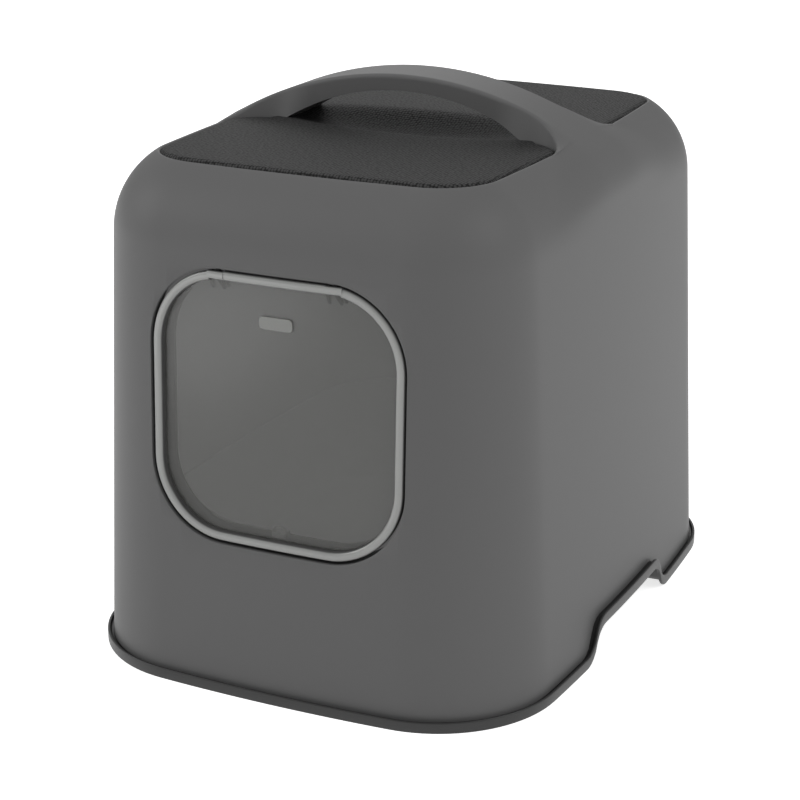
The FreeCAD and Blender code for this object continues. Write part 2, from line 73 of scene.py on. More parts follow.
def angle(name, description, degrees):
    """An angle, given in degrees and kept in radians."""
    return FloatProperty(name=name, description=description, default=math.radians(degrees), subtype="ANGLE")


def colour(name, description, default):
    """A colour as an sRGB hex value."""
    return StringProperty(name=name, description=description, default=default)


class LitterBoxBody(bpy.types.PropertyGroup):
    """Sizes of the tray and the hood."""

    rim_width: length("Rim width", "Width over the rim", TRAY_HIGH[0] - TRAY_LOW[0])
    rim_depth: length("Rim depth", "Depth over the rim", TRAY_HIGH[1] - TRAY_LOW[1])
    corner_radius: length("Corner radius", "Radius of the rim's corners", 0.101)
    front_bow: length("Front bow", "Radius of the bowed front and rear", 1.48)
    side_bow: length("Side bow", "Radius of the bowed sides", 2.35)
    rim_height: length("Rim height", "Height of the rim's lip", 0.009)
    rim_wall: length("Rim wall", "Thickness of the rim's lip", 0.0024)
    rim_round: length("Rim round", "Rounding of the rim's lip", 0.0011)
    channel_floor: length("Channel floor", "Height of the channel that the hood stands in", 0.006)
    flange: length("Flange", "Thickness of the channel's floor", 0.0024)
    pan_height: length("Pan height", "Height of the pan's edge", TRAY_HIGH[2])
    pan_wall: length("Pan wall", "Thickness of the pan's wall and floor", 0.0025)
    pan_top_inset: length("Pan inset", "Inset of the pan's edge from the rim", 0.01713)
    pan_draft: angle("Pan draft", "Lean of the pan's wall", 5.0)
    pan_fillet: length("Pan fillet", "Rounding at the pan's floor", 0.008)
    grip_rise: length("Grip rise", "Rise of the rim at the finger grips", 0.026)
    grip_run: length("Grip run", "Length of each S at a grip", 0.036)
    grip_length: length("Grip length", "Length of the raised rim", 0.112)
    grip_offset: length("Grip offset", "Place of the grip's middle along Y", -0.0075)
    hood_inset: length("Hood inset", "Inset of the hood's foot from the rim", 0.005)
    hood_gap: length("Hood gap", "Gap under the hood's foot", 0.0003)
    hood_draft: angle("Hood draft", "Lean of the hood's walls", 2.57)
    hood_wall: length("Hood wall", "Thickness of the hood", 0.003)
    crown_height: length("Crown height", "Height at which the shoulders would meet", 0.406)
    shoulder_radius: length("Shoulder radius", "Radius of the hood's shoulders", 0.070)
    roof_edge_inset: length("Roof edge inset", "Inset of the roof opening from the rim at the sides", 0.055)
    roof_end_inset: length("Roof end inset", "Inset of the roof opening at the front and rear", 0.060)
    roof_end_height: length("Roof end height", "Height of the roof opening's edge at the front and rear", 0.3957)
    lip_round: length("Lip round", "Rounding of the roof opening's edge", 0.0018)


class LitterBoxHandle(bpy.types.PropertyGroup):
    """Sizes of the carry handle."""

    top: length("Top", "Height of the handle's crest", HANDLE_HIGH[2])
    thickness: length("Thickness", "Thickness at the crest", 0.0128)
    foot_step: length("Foot step", "How far the foot stands over the roof opening's edge", 0.0039)
    foot_radius: length("Foot radius", "Radius where the arch turns into the side wall", 0.045)
    opening_width: length("Opening width", "Width of the space under the arch", 0.202)
    half_width: length("Half width", "Half the handle's width over the middle", 0.024)
    flare_radius: length("Flare radius", "Radius of the feet's flares", 0.038)
    edge_round: length("Edge round", "Rounding of the handle's long edges", 0.003)
    undercut: length("Undercut", "How far the handle's faces lean in over the opening", 0.0008)
    toe: length("Toe", "How far the faces run out at the feet", 0.0055)
    lean_start: length("Lean start", "Where the faces start to turn out towards the feet", 0.076)
    blend_reach: length("Blend reach", "Where the foot has run out at the roof opening", 0.066)
    blend_spread: length("Blend spread", "Where the foot has run out into the side wall", 0.135)


class LitterBoxPad(bpy.types.PropertyGroup):
    """Sizes of the roof pad."""

    top: length("Top", "Height of the pad's flat top", PAD_HIGH[2])
    gap: length("Gap", "Gap between the pad and the roof opening's edge", 0.0006)
    thickness: length("Thickness", "Thickness of the pad", 0.0042)
    tuck: length("Tuck", "How far the pad runs in under the feet of the handle", 0.0140)
    roll: length("Roll", "Radius of the pad's rolled edge", 0.0045)
    trough_depth: length("Trough depth", "Depth of the finger trough", 0.012)
    trough_width: length("Trough width", "Width of the finger trough", 0.086)
    trough_length: length("Trough length", "Length of the finger trough", 0.240)
    trough_blend: length("Trough blend", "Rounding of the trough's edge", 0.004)
    mesh_size: length("Mesh size", "Spacing of the pad's mesh", 0.0045)
    line_step: length("Line step", "Spacing of the places along the pad's outline", 0.0025)
    grain_pitch: length("Grain pitch", "Spacing of the textile grain", 0.0025)
    grain_relief: length("Grain relief", "Height of the grain's dots", 0.0008)


class LitterBoxDoor(bpy.types.PropertyGroup):
    """Sizes of the swing door and its opening."""

    size: length("Size", "Width and height of the door", DOOR_HIGH[0] - DOOR_LOW[0])
    corner_radius: length("Corner radius", "Radius of the door's corners", 0.060)
    top: length("Top", "Height of the door's upper edge", DOOR_HIGH[2])
    stand_out: length("Stand out", "How far the bead stands out from the hood's face", -0.0006)
    gap: length("Gap", "Gap round the door", 0.0020)
    edge_round: length("Edge round", "Rounding of the opening's edge", 0.0009)
    bead_width: length("Bead width", "Width of the bead", 0.0070)
    bead_depth: length("Bead depth", "Depth of the bead", 0.0080)
    bead_round: length("Bead round", "Rounding of the bead", 0.0026)
    hinge_half: length("Hinge half", "Distance of each hinge from the door's middle", (PIN_LOW[0] + PIN_HIGH[0]) / 2)
    notch_half: length("Notch half", "Half the width of the bead's notch at a hinge", 0.0052)
    knuckle_width: length("Knuckle width", "Height of the clear knuckle in a notch", 0.0062)
    knuckle_inset: length("Knuckle inset", "How far the knuckles lie behind the hood's face", 0.0002)
    skirt_depth: length("Skirt depth", "Depth of the door's skirt behind the bead", 0.0150)
    skirt_wall: length("Skirt wall", "Thickness of the door's skirt", 0.0015)
    skirt_top: length("Skirt top", "Height at which the skirt ends on each side", 0.306)
    arm_shift: length("Arm shift", "Sideways shift of the hinge arms", -0.0035)
    arm_spread: length("Arm spread", "Distance of each hinge arm from its hinge's middle", 0.0047)
    arm_width: length("Arm width", "Width of each hinge arm", 0.0027)
    arm_drop: length("Arm drop", "Height of the hinge arms", 0.0080)
    arm_run: length("Arm run", "How far the hinge arms run back", 0.0045)
    badge_round: length("Badge round", "Rounding of the badge plate's corners", 0.0030)
    loop_radius: length("Loop radius", "Radius of the catch's loop", 0.0052)
    loop_wire: length("Loop wire", "Thickness of the catch's loop", 0.0020)
    loop_back: length("Loop back", "How far the catch's loop lies behind the bead's face", 0.0110)
    panel_depth: length("Panel depth", "How far the clear panel lies behind the bead's face", 0.0052)
    panel_thickness: length("Panel thickness", "Thickness of the clear panel", 0.0016)
    bar_step: length("Bar step", "Spacing of the places along the bead and the skirt", 0.002)
    sheet_step: length("Sheet step", "Spacing of the places round the panel and its opening", 0.003)
    fine_step: length("Fine step", "Spacing from which the opening's places are picked", 0.0005)


class LitterBoxFinish(bpy.types.PropertyGroup):
    """Colours of the plastics."""

    hood: colour("Hood", "Satin grey of the hood", "#6E6E6E")
    # Painted glow: emission colour on the inner walls, standing in for the daylight that reaches the inside
    cabin: colour("Cabin", "Daylight that shows on the inside of the walls", "#525252")
    # Painted shade: a darker grey for the collar, the door's skirt and the catch's strike, which lie in the recess
    collar: colour("Collar", "Grey of the collar inside the opening", "#484848")
    tray: colour("Tray", "Dark grey of the tray", "#282828")
    pad: colour("Pad", "Dark grey of the roof pad", "#464646")
    # Painted shade: near black in the hollows of the grain
    pad_pit_shade: colour("Pad pits", "Near black between the pad's dots", "#0C0C0C")
    # Painted sheen: the bead's pale grey stands in for light caught by the clear plastic
    bead: colour("Bead", "Pale grey of the door's bead", "#A1A2A0")
    # Painted shade: the darker grey on the bead's flanks stands in for the shaded gap behind them
    bead_flank_shade: colour("Bead depths", "Darker grey on the bead's flanks", "#555555")
    window: colour("Window", "Haze of the door's clear panel", "#6E6E6B")
    badge: colour("Badge", "Frosted plate on the window", "#979895")
    fitting: colour("Fitting", "Grey of the hinge and filter fittings", "#2E2E2E")
    filter: colour("Filter", "Charcoal of the filter mat", "#232323")
    floor: colour("Floor", "Pale floor", "#FDFDFD")


class LitterBoxStage(bpy.types.PropertyGroup):
    """The photograph's viewpoint and the studio round it."""

    camera_place: FloatVectorProperty(
        name="Camera place", description="Where the camera stands", default=(0.7174, -1.5034, 0.7418), unit="LENGTH"
    )
    camera_pitch: angle("Camera pitch", "How far the camera looks down", 19.18)
    camera_turn: angle("Camera turn", "How far the camera stands round to the right", 25.51)
    lens: FloatProperty(name="Lens", description="Focal length on a 36 mm sensor, in millimetres", default=95.457)
    shift: FloatProperty(name="Shift", description="Sideways shift of the frame", default=-0.02065)
    floor_size: length("Floor size", "Width of the floor", 14.0)
    floor_glow: FloatProperty(name="Floor glow", description="Even light that the eye sees on the floor", default=0.75)
    card_glow: FloatProperty(name="Card glow", description="Brightness of the card that the panel mirrors", default=3.0)
    world_strength: FloatProperty(name="World strength", description="Even light from all round", default=0.42)
    lamp_aim: FloatVectorProperty(
        name="Lamp aim", description="What the lamps point at", default=(0.0, 0.0, 0.2), unit="LENGTH"
    )


# Corners of the card on the floor that the door's panel mirrors in its upper left
CARD = ((-0.545, -0.930, 0.002), (-0.560, -1.700, 0.002), (-1.900, -2.600, 0.002), (-1.900, -1.000, 0.002))

# Each lamp's place and width in metres, and its power in watts
LAMPS = {
    "soft_from_right": ((3.2, -0.2, 3.1), 2.6, 48.0),
    "soft_from_left": ((-3.5, -1.6, 2.3), 2.6, 54.0),
    "soft_from_behind": ((-1.9, 3.5, 2.1), 2.6, 15.0),
}

# The camera's sensor in millimetres, and how far it sees in metres
SENSOR_WIDTH = 36.0
SIGHT = 50.0

# Edges sharper than these angles, in degrees, stay sharp
CREASE = 40
PAD_CREASE = 50

SETTINGS = {
    "litter_box_body": LitterBoxBody,
    "litter_box_handle": LitterBoxHandle,
    "litter_box_pad": LitterBoxPad,
    "litter_box_door": LitterBoxDoor,
    "litter_box_finish": LitterBoxFinish,
    "litter_box_stage": LitterBoxStage,
}


def linear(hex_colour):
    """An sRGB hex value as linear red, green, blue and alpha."""
    channels = [int(hex_colour[at:at + 2], 16) / 255 for at in (1, 3, 5)]
    return [c / 12.92 if c <= 0.04045 else ((c + 0.055) / 1.055) ** 2.4 for c in channels] + [1.0]


def smoothstep(low, high, value):
    """An even S from 0 to 1 between two values."""
    part = np.clip((np.asarray(value, float) - low) / (high - low), 0.0, 1.0)
    return part * part * (3 - 2 * part)


def bow_radius(half_chord, rise):
    """The radius of an arc from half its chord and its rise."""
    return (half_chord ** 2 + rise ** 2) / (2 * rise)


def resample(points, count):
    """Evenly spaced points along a polyline."""
    points = np.asarray(points, float)
    steps = np.linalg.norm(np.diff(points, axis=0), axis=1)
    travelled = np.concatenate(([0.0], np.cumsum(steps)))
    places = np.linspace(0.0, travelled[-1], count)
    return np.stack([np.interp(places, travelled, points[:, axis]) for axis in range(points.shape[1])], axis=1)


class Outline:
    """The rim's outline: four bowed sides joined by round corners. Other outlines lie inside it by an inset."""

    def __init__(self, body):
        self.body = body
        half_width, half_depth = body.rim_width / 2, body.rim_depth / 2
        self.end_centre = np.array((0.0, half_depth - body.front_bow))
        self.side_centre = np.array((half_width - body.side_bow, 0.0))
        to_end = body.front_bow - body.corner_radius
        to_side = body.side_bow - body.corner_radius
        across = self.side_centre - self.end_centre
        span = np.linalg.norm(across)
        along = (span ** 2 + to_end ** 2 - to_side ** 2) / (2 * span)
        off = math.sqrt(to_end ** 2 - along ** 2)
        unit = across / span
        self.corner = self.end_centre + unit * along + np.array((unit[1], -unit[0])) * off
        self.side_turn = math.atan2(self.corner[1], self.corner[0] - self.side_centre[0])
        self.end_turn = math.atan2(self.corner[1] - self.end_centre[1], self.corner[0])

    def column(self, centre, radius, turn):
        """A place on the outline and the way inwards from it."""
        way = np.array((math.cos(turn), math.sin(turn)))
        return np.concatenate((centre + radius * way, -way))

    def quarter(self, side_turns, corner_count, end_count):
        """Columns of one quarter, from the middle of the right side round to the middle of the rear."""
        columns = [self.column(self.side_centre, self.body.side_bow, turn) for turn in side_turns]
        for turn in np.linspace(self.side_turn, self.end_turn, corner_count, endpoint=False):
            columns.append(self.column(self.corner, self.body.corner_radius, turn))
        for turn in np.linspace(self.end_turn, math.pi / 2, end_count):
            columns.append(self.column(self.end_centre, self.body.front_bow, turn))
        return np.array(columns)

    def whole(self, quarter):
        """All columns anticlockwise, from one quarter's, with the shared ones once."""
        mirror_x = quarter * np.array((-1, 1, -1, 1))
        mirror_y = quarter * np.array((1, -1, 1, -1))
        parts = [quarter, mirror_x[-2::-1], -quarter[1:], mirror_y[-2:0:-1]]
        return np.concatenate(parts)

    def inset(self, x, y):
        """How far places lie inside the outline."""
        x, y = np.abs(x), np.abs(y)
        from_side = self.body.side_bow - np.hypot(x - self.side_centre[0], y)
        from_end = self.body.front_bow - np.hypot(x, y - self.end_centre[1])
        from_corner = self.body.corner_radius - np.hypot(x - self.corner[0], y - self.corner[1])
        by_side = np.arctan2(y, x - self.side_centre[0]) <= self.side_turn
        by_end = np.arctan2(y - self.end_centre[1], x) >= self.end_turn
        straight = np.where(by_side & by_end, np.minimum(from_side, from_end), np.where(by_side, from_side, from_end))
        return np.where(by_side | by_end, straight, from_corner)


def hood_inset(body, height):
    """Inset of the hood's outer wall at a height."""
    return body.hood_inset + (height - body.channel_floor) * math.tan(body.hood_draft)


def front_face(body, x, z):
    """The y of the hood's front wall at a place on it."""
    reach = body.front_bow - hood_inset(body, z)
    return body.front_bow - body.rim_depth / 2 - np.sqrt(reach ** 2 - np.asarray(x) ** 2)


def grip_wave(body, y):
    """How far the rim rises at the finger grips."""
    turn = 2 * math.atan2(body.grip_rise, body.grip_run)
    radius = body.grip_run / (2 * math.sin(turn))
    past = np.abs(np.asarray(y, float) - body.grip_offset) - body.grip_length / 2
    upper = body.grip_rise - radius + np.sqrt(np.maximum(radius ** 2 - np.clip(past, 0, radius) ** 2, 0))
    from_foot = np.clip(body.grip_run - past, 0, radius)
    lower = radius - np.sqrt(np.maximum(radius ** 2 - from_foot ** 2, 0))
    return np.where(past < body.grip_run / 2, upper, lower)


class HoodForm:
    """The hood's outer face: leaning walls, round shoulders, and the handle's arch over the roof."""

    def __init__(self, body, handle, pad):
        self.body, self.handle, self.pad = body, handle, pad
        self.outline = Outline(body)
        lean = body.hood_draft
        self.shoulder_low = body.crown_height - body.shoulder_radius
        tangent = self.shoulder_low + body.shoulder_radius * math.sin(lean)
        self.shoulder_centre = hood_inset(body, tangent) + body.shoulder_radius * math.cos(lean)
        self.edge_height = float(self.dome(body.roof_edge_inset))
        half_roof = body.rim_width / 2 - body.roof_edge_inset
        self.arch_radius = bow_radius(half_roof, handle.top - self.edge_height - handle.foot_step)
        self.under_radius = bow_radius(handle.opening_width / 2, handle.top - handle.thickness - pad.top)
        self.arch_middle = handle.top - self.arch_radius
        reach = self.arch_radius - handle.foot_radius
        foot_z = self.arch_middle + reach
        for _ in range(30):
            wall = body.rim_width / 2 - hood_inset(body, foot_z)
            foot_x = wall - handle.foot_radius / math.cos(lean)
            foot_z = self.arch_middle + math.sqrt(reach ** 2 - foot_x ** 2)
        self.foot_x, self.foot_z = foot_x, foot_z
        self.wall_top = foot_z - handle.foot_radius / 2
        self.shoulder_line = self.trace_shoulder()
        self.handle_line = self.trace_handle()

    def dome(self, inset):
        """Height of the round shoulders at an inset."""
        across = np.maximum(self.shoulder_centre - np.asarray(inset, float), 0.0)
        inside = np.maximum(self.body.shoulder_radius ** 2 - across ** 2, 0.0)
        return self.shoulder_low + np.sqrt(inside)

    def arch(self, x):
        """Height of the handle's outer line at a distance from the middle."""
        return self.arch_middle + np.sqrt(self.arch_radius ** 2 - np.asarray(x, float) ** 2)

    def under_arch(self, x):
        """Height of the handle's underside at a distance from the middle."""
        middle = self.handle.top - self.handle.thickness - self.under_radius
        return middle + np.sqrt(self.under_radius ** 2 - np.asarray(x, float) ** 2)

    def foot_share(self, y, reach):
        """How much of the handle's line the face follows at a distance from the handle's middle."""
        return 1 - smoothstep(self.handle.half_width, reach, np.abs(y))

    def top(self, x, y):
        """Height of the handle's outer face over the roof."""
        return self.edge_height + self.foot_share(y, self.handle.blend_reach) * (self.arch(x) - self.edge_height)

    def roof_edge(self, y, inset):
        """The x of the roof opening's side edge, at an inset."""
        reach = self.body.side_bow - inset
        return self.outline.side_centre[0] + np.sqrt(reach ** 2 - np.asarray(y, float) ** 2)

    def trace_shoulder(self):
        """The plain section from the wall over the shoulder, as inset and height."""
        body = self.body
        turns = np.linspace(body.hood_draft, math.pi / 2, 200)
        bend = np.stack((
            self.shoulder_centre - body.shoulder_radius * np.cos(turns),
            self.shoulder_low + body.shoulder_radius * np.sin(turns),
        ), axis=1)
        start = (hood_inset(body, self.wall_top), self.wall_top)
        return np.concatenate(([start], bend))

    def trace_handle(self):
        """The section from the wall up the handle's foot to its crest, as inset and height."""
        body, handle = self.body, self.handle
        rise = math.atan2(self.foot_z - self.arch_middle, self.foot_x)
        turns = np.linspace(body.hood_draft, rise, 120)
        x = self.foot_x + handle.foot_radius * np.cos(turns)
        bend = np.stack((body.rim_width / 2 - x, self.foot_z + handle.foot_radius * np.sin(turns)), axis=1)
        crest_x = np.linspace(x[-1], 0.0, 200)[1:]
        crest = np.stack((body.rim_width / 2 - crest_x, self.arch(crest_x)), axis=1)
        start = (hood_inset(body, self.wall_top), self.wall_top)
        return np.concatenate(([start], bend, crest))

    def section(self, line, end_inset, count):
        """Evenly spaced places along a section up to an inset."""
        end = (end_inset, np.interp(end_inset, line[:, 0], line[:, 1]))
        return resample(np.concatenate((line[line[:, 0] < end_inset], [end])), count)


class HandlePlan:
    """One quarter of the handle's edge seen from above, from the tip of a foot to the middle of the handle.

    The edge is straight over the middle and flares into the roof opening's side edge at the foot.
    """

    def __init__(self, form, flare_count, straight_count):
        body, handle = form.body, form.handle
        self.handle = handle
        self.tip_y = handle.half_width + handle.flare_radius
        self.start = float(form.roof_edge(self.tip_y, body.roof_edge_inset)) - handle.flare_radius
        flare = np.linspace(math.pi / 2, 0.0, flare_count)
        straight = np.linspace(self.start, 0.0, straight_count)[1:]
        self.turn = np.concatenate((flare, np.zeros(len(straight))))
        self.base = np.concatenate((np.full(flare_count, self.start), straight))

    def places(self, outwards):
        """Places along the edge, moved outwards over the pad."""
        reach = self.handle.flare_radius - outwards
        return np.stack((self.base + reach * np.sin(self.turn), self.tip_y - reach * np.cos(self.turn)), axis=1)

    def toe(self):
        """How far the lower edge of the handle's face stands out from the upper one."""
        handle = self.handle
        share = smoothstep(handle.lean_start, self.start, self.base)
        return (share * (handle.toe + handle.undercut) - handle.undercut) * np.cos(self.turn) ** 2


class MeshPlan:
    """Vertices and faces gathered piece by piece."""

    def __init__(self):
        self.places = []
        self.faces = []

    def add(self, places):
        """Adds an array of places and returns their numbers in the same arrangement."""
        places = np.asarray(places, float)
        first = len(self.places)
        flat = places.reshape(-1, 3)
        self.places.extend(map(tuple, flat))
        return np.arange(first, first + len(flat)).reshape(places.shape[:-1])

    def skin(self, grid, around=False):
        """Faces over a grid of numbers, closed along its first direction or not."""
        rows = len(grid) if around else len(grid) - 1
        for row in range(rows):
            here, there = grid[row], grid[(row + 1) % len(grid)]
            for at in range(len(here) - 1):
                self.faces.append((here[at], there[at], there[at + 1], here[at + 1]))

    def mesh(self, name):
        """A closed mesh with outward faces."""
        mesh = bpy.data.meshes.new(name)
        mesh.from_pydata(self.places, [], [tuple(int(v) for v in face) for face in self.faces])
        outward(mesh)
        return mesh


def outward(mesh):
    """Turns every face of a closed mesh outwards."""
    work = bmesh.new()
    work.from_mesh(mesh)
    bmesh.ops.remove_doubles(work, verts=work.verts, dist=1e-6)
    bmesh.ops.recalc_face_normals(work, faces=work.faces)
    work.to_mesh(mesh)
    work.free()


def smooth(mesh, degrees):
    """Smooth shading, with edges sharper than an angle kept sharp."""
    mesh.shade_smooth()
    mesh.set_sharp_from_angle(angle=math.radians(degrees))


def place_piece(mesh, name, material, body, slot, nodes):
    """Puts a mesh into the scene as a piece that rides on a body and stands for nodes of the frame."""
    piece = bpy.data.objects.new(name, mesh)
    bpy.context.scene.collection.objects.link(piece)
    mesh.materials.clear()
    for part in material if isinstance(material, tuple) else (material,):
        mesh.materials.append(part)
    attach(piece, body)
    if nodes:
        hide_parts(*nodes)
    return piece


def mark_inside(mesh, low, high):
    """Gives the second material, the one with the painted glow, to the faces that look into the cabin, within a box."""
    middle = (Vector(low) + Vector(high)) / 2
    for face in mesh.polygons:
        place = face.center
        within = all(low[axis] < place[axis] < high[axis] for axis in range(3))
        face.material_index = int(within and face.normal.dot(place - middle) < 0)


def hood_columns(form, plan):
    """Columns round the hood, the inset at which each one ends, and the number of columns across half a foot."""
    body, outline = form.body, form.outline
    side_inset = body.roof_edge_inset - body.lip_round
    half_count = 12
    tip_x = float(form.roof_edge(plan.tip_y, side_inset))
    middle_x = float(form.roof_edge(0.0, side_inset))
    shares = np.linspace(0, 1, half_count + 1)
    foot = np.stack((tip_x + (middle_x - tip_x) * (1 - shares ** 2), plan.tip_y * shares), axis=1)
    last_y = (body.side_bow - side_inset) * math.sin(outline.side_turn)
    side_y = np.linspace(plan.tip_y, last_y, 18)[1:-1]
    side = np.stack((form.roof_edge(side_y, side_inset), side_y), axis=1)
    from_centre = np.concatenate((foot, side)) - outline.side_centre
    turns = np.arctan2(from_centre[:, 1], from_centre[:, 0])
    columns = outline.whole(outline.quarter(turns, 30, 36))
    end_inset = body.roof_end_inset - body.lip_round
    insets = side_inset + (end_inset - side_inset) * columns[:, 3] ** 2
    return columns, insets, half_count


def column_places(columns, insets, heights):
    """Places on columns, for insets and heights with one row per column."""
    plan = columns[:, None, :2] + columns[:, None, 2:] * insets[:, :, None]
    return np.concatenate((plan, heights[:, :, None]), axis=2)


def hood_wall_rows(form, columns):
    """Insets and heights of the rows from the hood's foot, which follows the rim, up to the shoulder."""
    body = form.body
    foot = body.channel_floor + body.hood_gap + grip_wave(body, columns[:, 1])
    shares = np.array((0.0, 0.02, 0.07, 0.14, 0.22, 0.30, 0.38, 0.46, 0.54, 0.62, 0.70, 0.78, 0.86, 0.93))
    heights = foot[:, None] + (form.wall_top - foot)[:, None] * shares
    return hood_inset(body, heights), heights


def hood_mesh(form):
    """One closed moulding: outer face, handle, inner face, and the rolled edges of the two roof openings."""
    body, handle = form.body, form.handle
    edge = HandlePlan(form, 16, 36)
    columns, end_insets, half_foot = hood_columns(form, edge)
    wall_insets, wall_heights = hood_wall_rows(form, columns)
    shoulder_count = 32
    rise = np.linspace(0, 1, shoulder_count) ** 2
    reach = handle.blend_spread + (handle.blend_reach - handle.blend_spread) * rise
    edge_y = columns[:, 1] + columns[:, 3] * body.roof_edge_inset
    share = form.foot_share(edge_y[:, None], reach)
    share[np.abs(columns[:, 2]) <= np.abs(columns[:, 3])] = 0.0
    plain = np.array([form.section(form.shoulder_line, inset, shoulder_count) for inset in end_insets])
    raised = np.array([form.section(form.handle_line, inset, shoulder_count) for inset in end_insets])
    lowered = (body.roof_end_height - form.shoulder_low) / (form.dome(body.roof_end_inset) - form.shoulder_low)
    squeeze = 1 + (lowered - 1) * columns[:, 3] ** 2
    over = np.maximum(plain[:, :, 1] - form.shoulder_low, 0.0)
    plain[:, :, 1] -= over * (1 - squeeze[:, None])
    mixed = plain + share[:, :, None] * (raised - plain)
    plan = MeshPlan()

    def ring(upper, inward):
        insets = np.concatenate((wall_insets, upper[:, :, 0]), axis=1)
        heights = np.concatenate((wall_heights, upper[:, :, 1]), axis=1)
        rise = np.gradient(heights, axis=1)
        run = np.gradient(insets, axis=1)
        size = np.hypot(rise, run)
        return column_places(columns, insets + inward * rise / size, heights - inward * run / size)

    outer_places = ring(mixed, 0.0)
    inner_places = ring(plain, body.hood_wall)
    inner_places = np.concatenate((inner_places[:, :-1:2], inner_places[:, -1:]), axis=1)
    inner_places[:, 0, 2] = outer_places[:, 0, 2]
    outer = plan.add(outer_places)
    inner = plan.add(inner_places)
    plan.skin(outer, around=True)
    plan.skin(inner[:, ::-1], around=True)
    plan.skin(np.stack((inner[:, 0], outer[:, 0]), axis=1), around=True)

    # The strip of the handle between the feet, with its end rows shared with the ring
    count = len(columns)
    foot = np.arange(-half_foot, half_foot + 1)
    right = foot % count
    left = (count // 2 - foot) % count
    across = foot / half_foot
    rounding = body.lip_round + (handle.edge_round - body.lip_round) * np.cos(edge.turn) ** 2
    upper = edge.places(-rounding)[1:]
    lower = edge.places(edge.toe())[1:]
    middle_x = outer_places[0, -1, 0]
    fade = 1 - smoothstep(0.0, 1.0, 1 - edge.turn[1:] / (math.pi / 2))
    bulge = (middle_x - outer_places[half_foot, -1, 0]) * fade
    floor = form.pad.top - form.pad.trough_depth

    def rows(side, height):
        x = side[:, :1] + bulge[:, None] * (1 - across ** 2)
        y = side[:, 1:] * across
        half = np.stack((x, y, height(x, y)), axis=2)
        return plan.add(np.concatenate((half, half[-2::-1] * np.array((-1.0, 1.0, 1.0)))))

    top_rows = rows(upper, form.top)
    under_rows = rows(lower, lambda x, y: np.maximum(form.under_arch(x), floor))
    strip = np.concatenate(([outer[right, -1]], top_rows, [outer[left, -1]]))
    under = np.concatenate(([inner[right, -1]], under_rows, [inner[left, -1]]))
    plan.skin(strip)
    plan.skin(under[:, ::-1])

    # The rolled edge round each roof opening, from the outer face over to the inner one
    lean = np.arctan2(-edge.toe()[1:], handle.thickness - handle.edge_round)
    both = [np.concatenate((side, side[-2::-1])) for side in (rounding[1:], lean)]
    last_step = outer_places[:, -1] - outer_places[:, -2]
    lip_slope = last_step[:, 2] / np.linalg.norm(last_step[:, :2], axis=1)
    for first, last, side in ((half_foot, count // 2 - half_foot, -1), (count // 2 + half_foot, count - half_foot, 0)):
        at = np.arange(first, last + 1)
        order = slice(None, None, -1) if side == -1 else slice(None)
        loop = np.concatenate((outer[at, -1], strip[1:-1, side][order]))
        below = np.concatenate((inner[at, -1], under[1:-1, side][order]))
        sizes = np.concatenate((np.full(len(at), body.lip_round), both[0][order]))
        leans = np.concatenate((np.zeros(len(at)), both[1][order]))
        slopes = np.concatenate((lip_slope[at], np.full(len(both[0]), np.nan)))
        roll_edge(plan, form, loop, below, sizes, leans, slopes)
    return plan.mesh("hood_moulding")


def roll_edge(plan, form, loop, below, sizes, leans, slopes):
    """Rolls a face's edge over, from an anticlockwise loop on it to the loop below."""
    places = np.array([plan.places[at] for at in loop])
    ends = np.array([plan.places[at] for at in below])
    along = np.roll(places, -1, axis=0) - np.roll(places, 1, axis=0)
    along /= np.linalg.norm(along, axis=1)[:, None]
    into = np.stack((-along[:, 1], along[:, 0]), axis=1)
    into /= np.linalg.norm(into, axis=1)[:, None]
    step = 1e-4
    ahead = places[:, :2] + step * into
    behind = places[:, :2] - step * into
    rise = form.top(ahead[:, 0], ahead[:, 1]) - form.top(behind[:, 0], behind[:, 1])
    slopes = np.where(np.isnan(slopes), rise / (2 * step), slopes)
    forward = np.concatenate((into, slopes[:, None]), axis=1)
    forward /= np.linalg.norm(forward, axis=1)[:, None]
    upward = np.cross(along, forward)
    upward *= (np.sign(upward[:, 2]) / np.linalg.norm(upward, axis=1))[:, None]
    turn = math.pi / 2 + np.arctan(slopes) + leans
    rows = [loop]
    for part in np.linspace(0, 1, 8)[1:]:
        forth, down = np.sin(turn * part), 1 - np.cos(turn * part)
        last = places + sizes[:, None] * (forth[:, None] * forward - down[:, None] * upward)
        rows.append(plan.add(last))
    for part in (0.06, 0.5, 0.94):
        rows.append(plan.add(last + part * (ends - last)))
    rows.append(below)
    plan.skin(np.stack(rows, axis=1), around=True)


def rounded_square(door, growth, count):
    """The door's outline grown by a margin: places as x and z, and the way outwards at each."""
    half = door.size / 2
    middle = door.top - half
    radius = door.corner_radius
    places, ways = [], []
    for quarter in range(4):
        turns = np.linspace(0, math.pi / 2, count) + quarter * math.pi / 2
        corner = (half - radius) * np.array(((1, 1), (-1, 1), (-1, -1), (1, -1))[quarter])
        way = np.stack((np.cos(turns), np.sin(turns)), axis=1)
        places.append(corner + (radius + growth) * way)
        ways.append(way)
    places = np.concatenate(places) + np.array((0.0, middle))
    return places, np.concatenate(ways)


def even_outline(door, growth, spacing):
    """The door's outline grown by a margin, as evenly spaced places, closed without repeating the first."""
    places, _ = rounded_square(door, growth, 24)
    closed = np.concatenate((places, places[:1]))
    size = np.linalg.norm(np.diff(closed, axis=0), axis=1).sum()
    return resample(closed, int(size / spacing) + 1)[:-1]


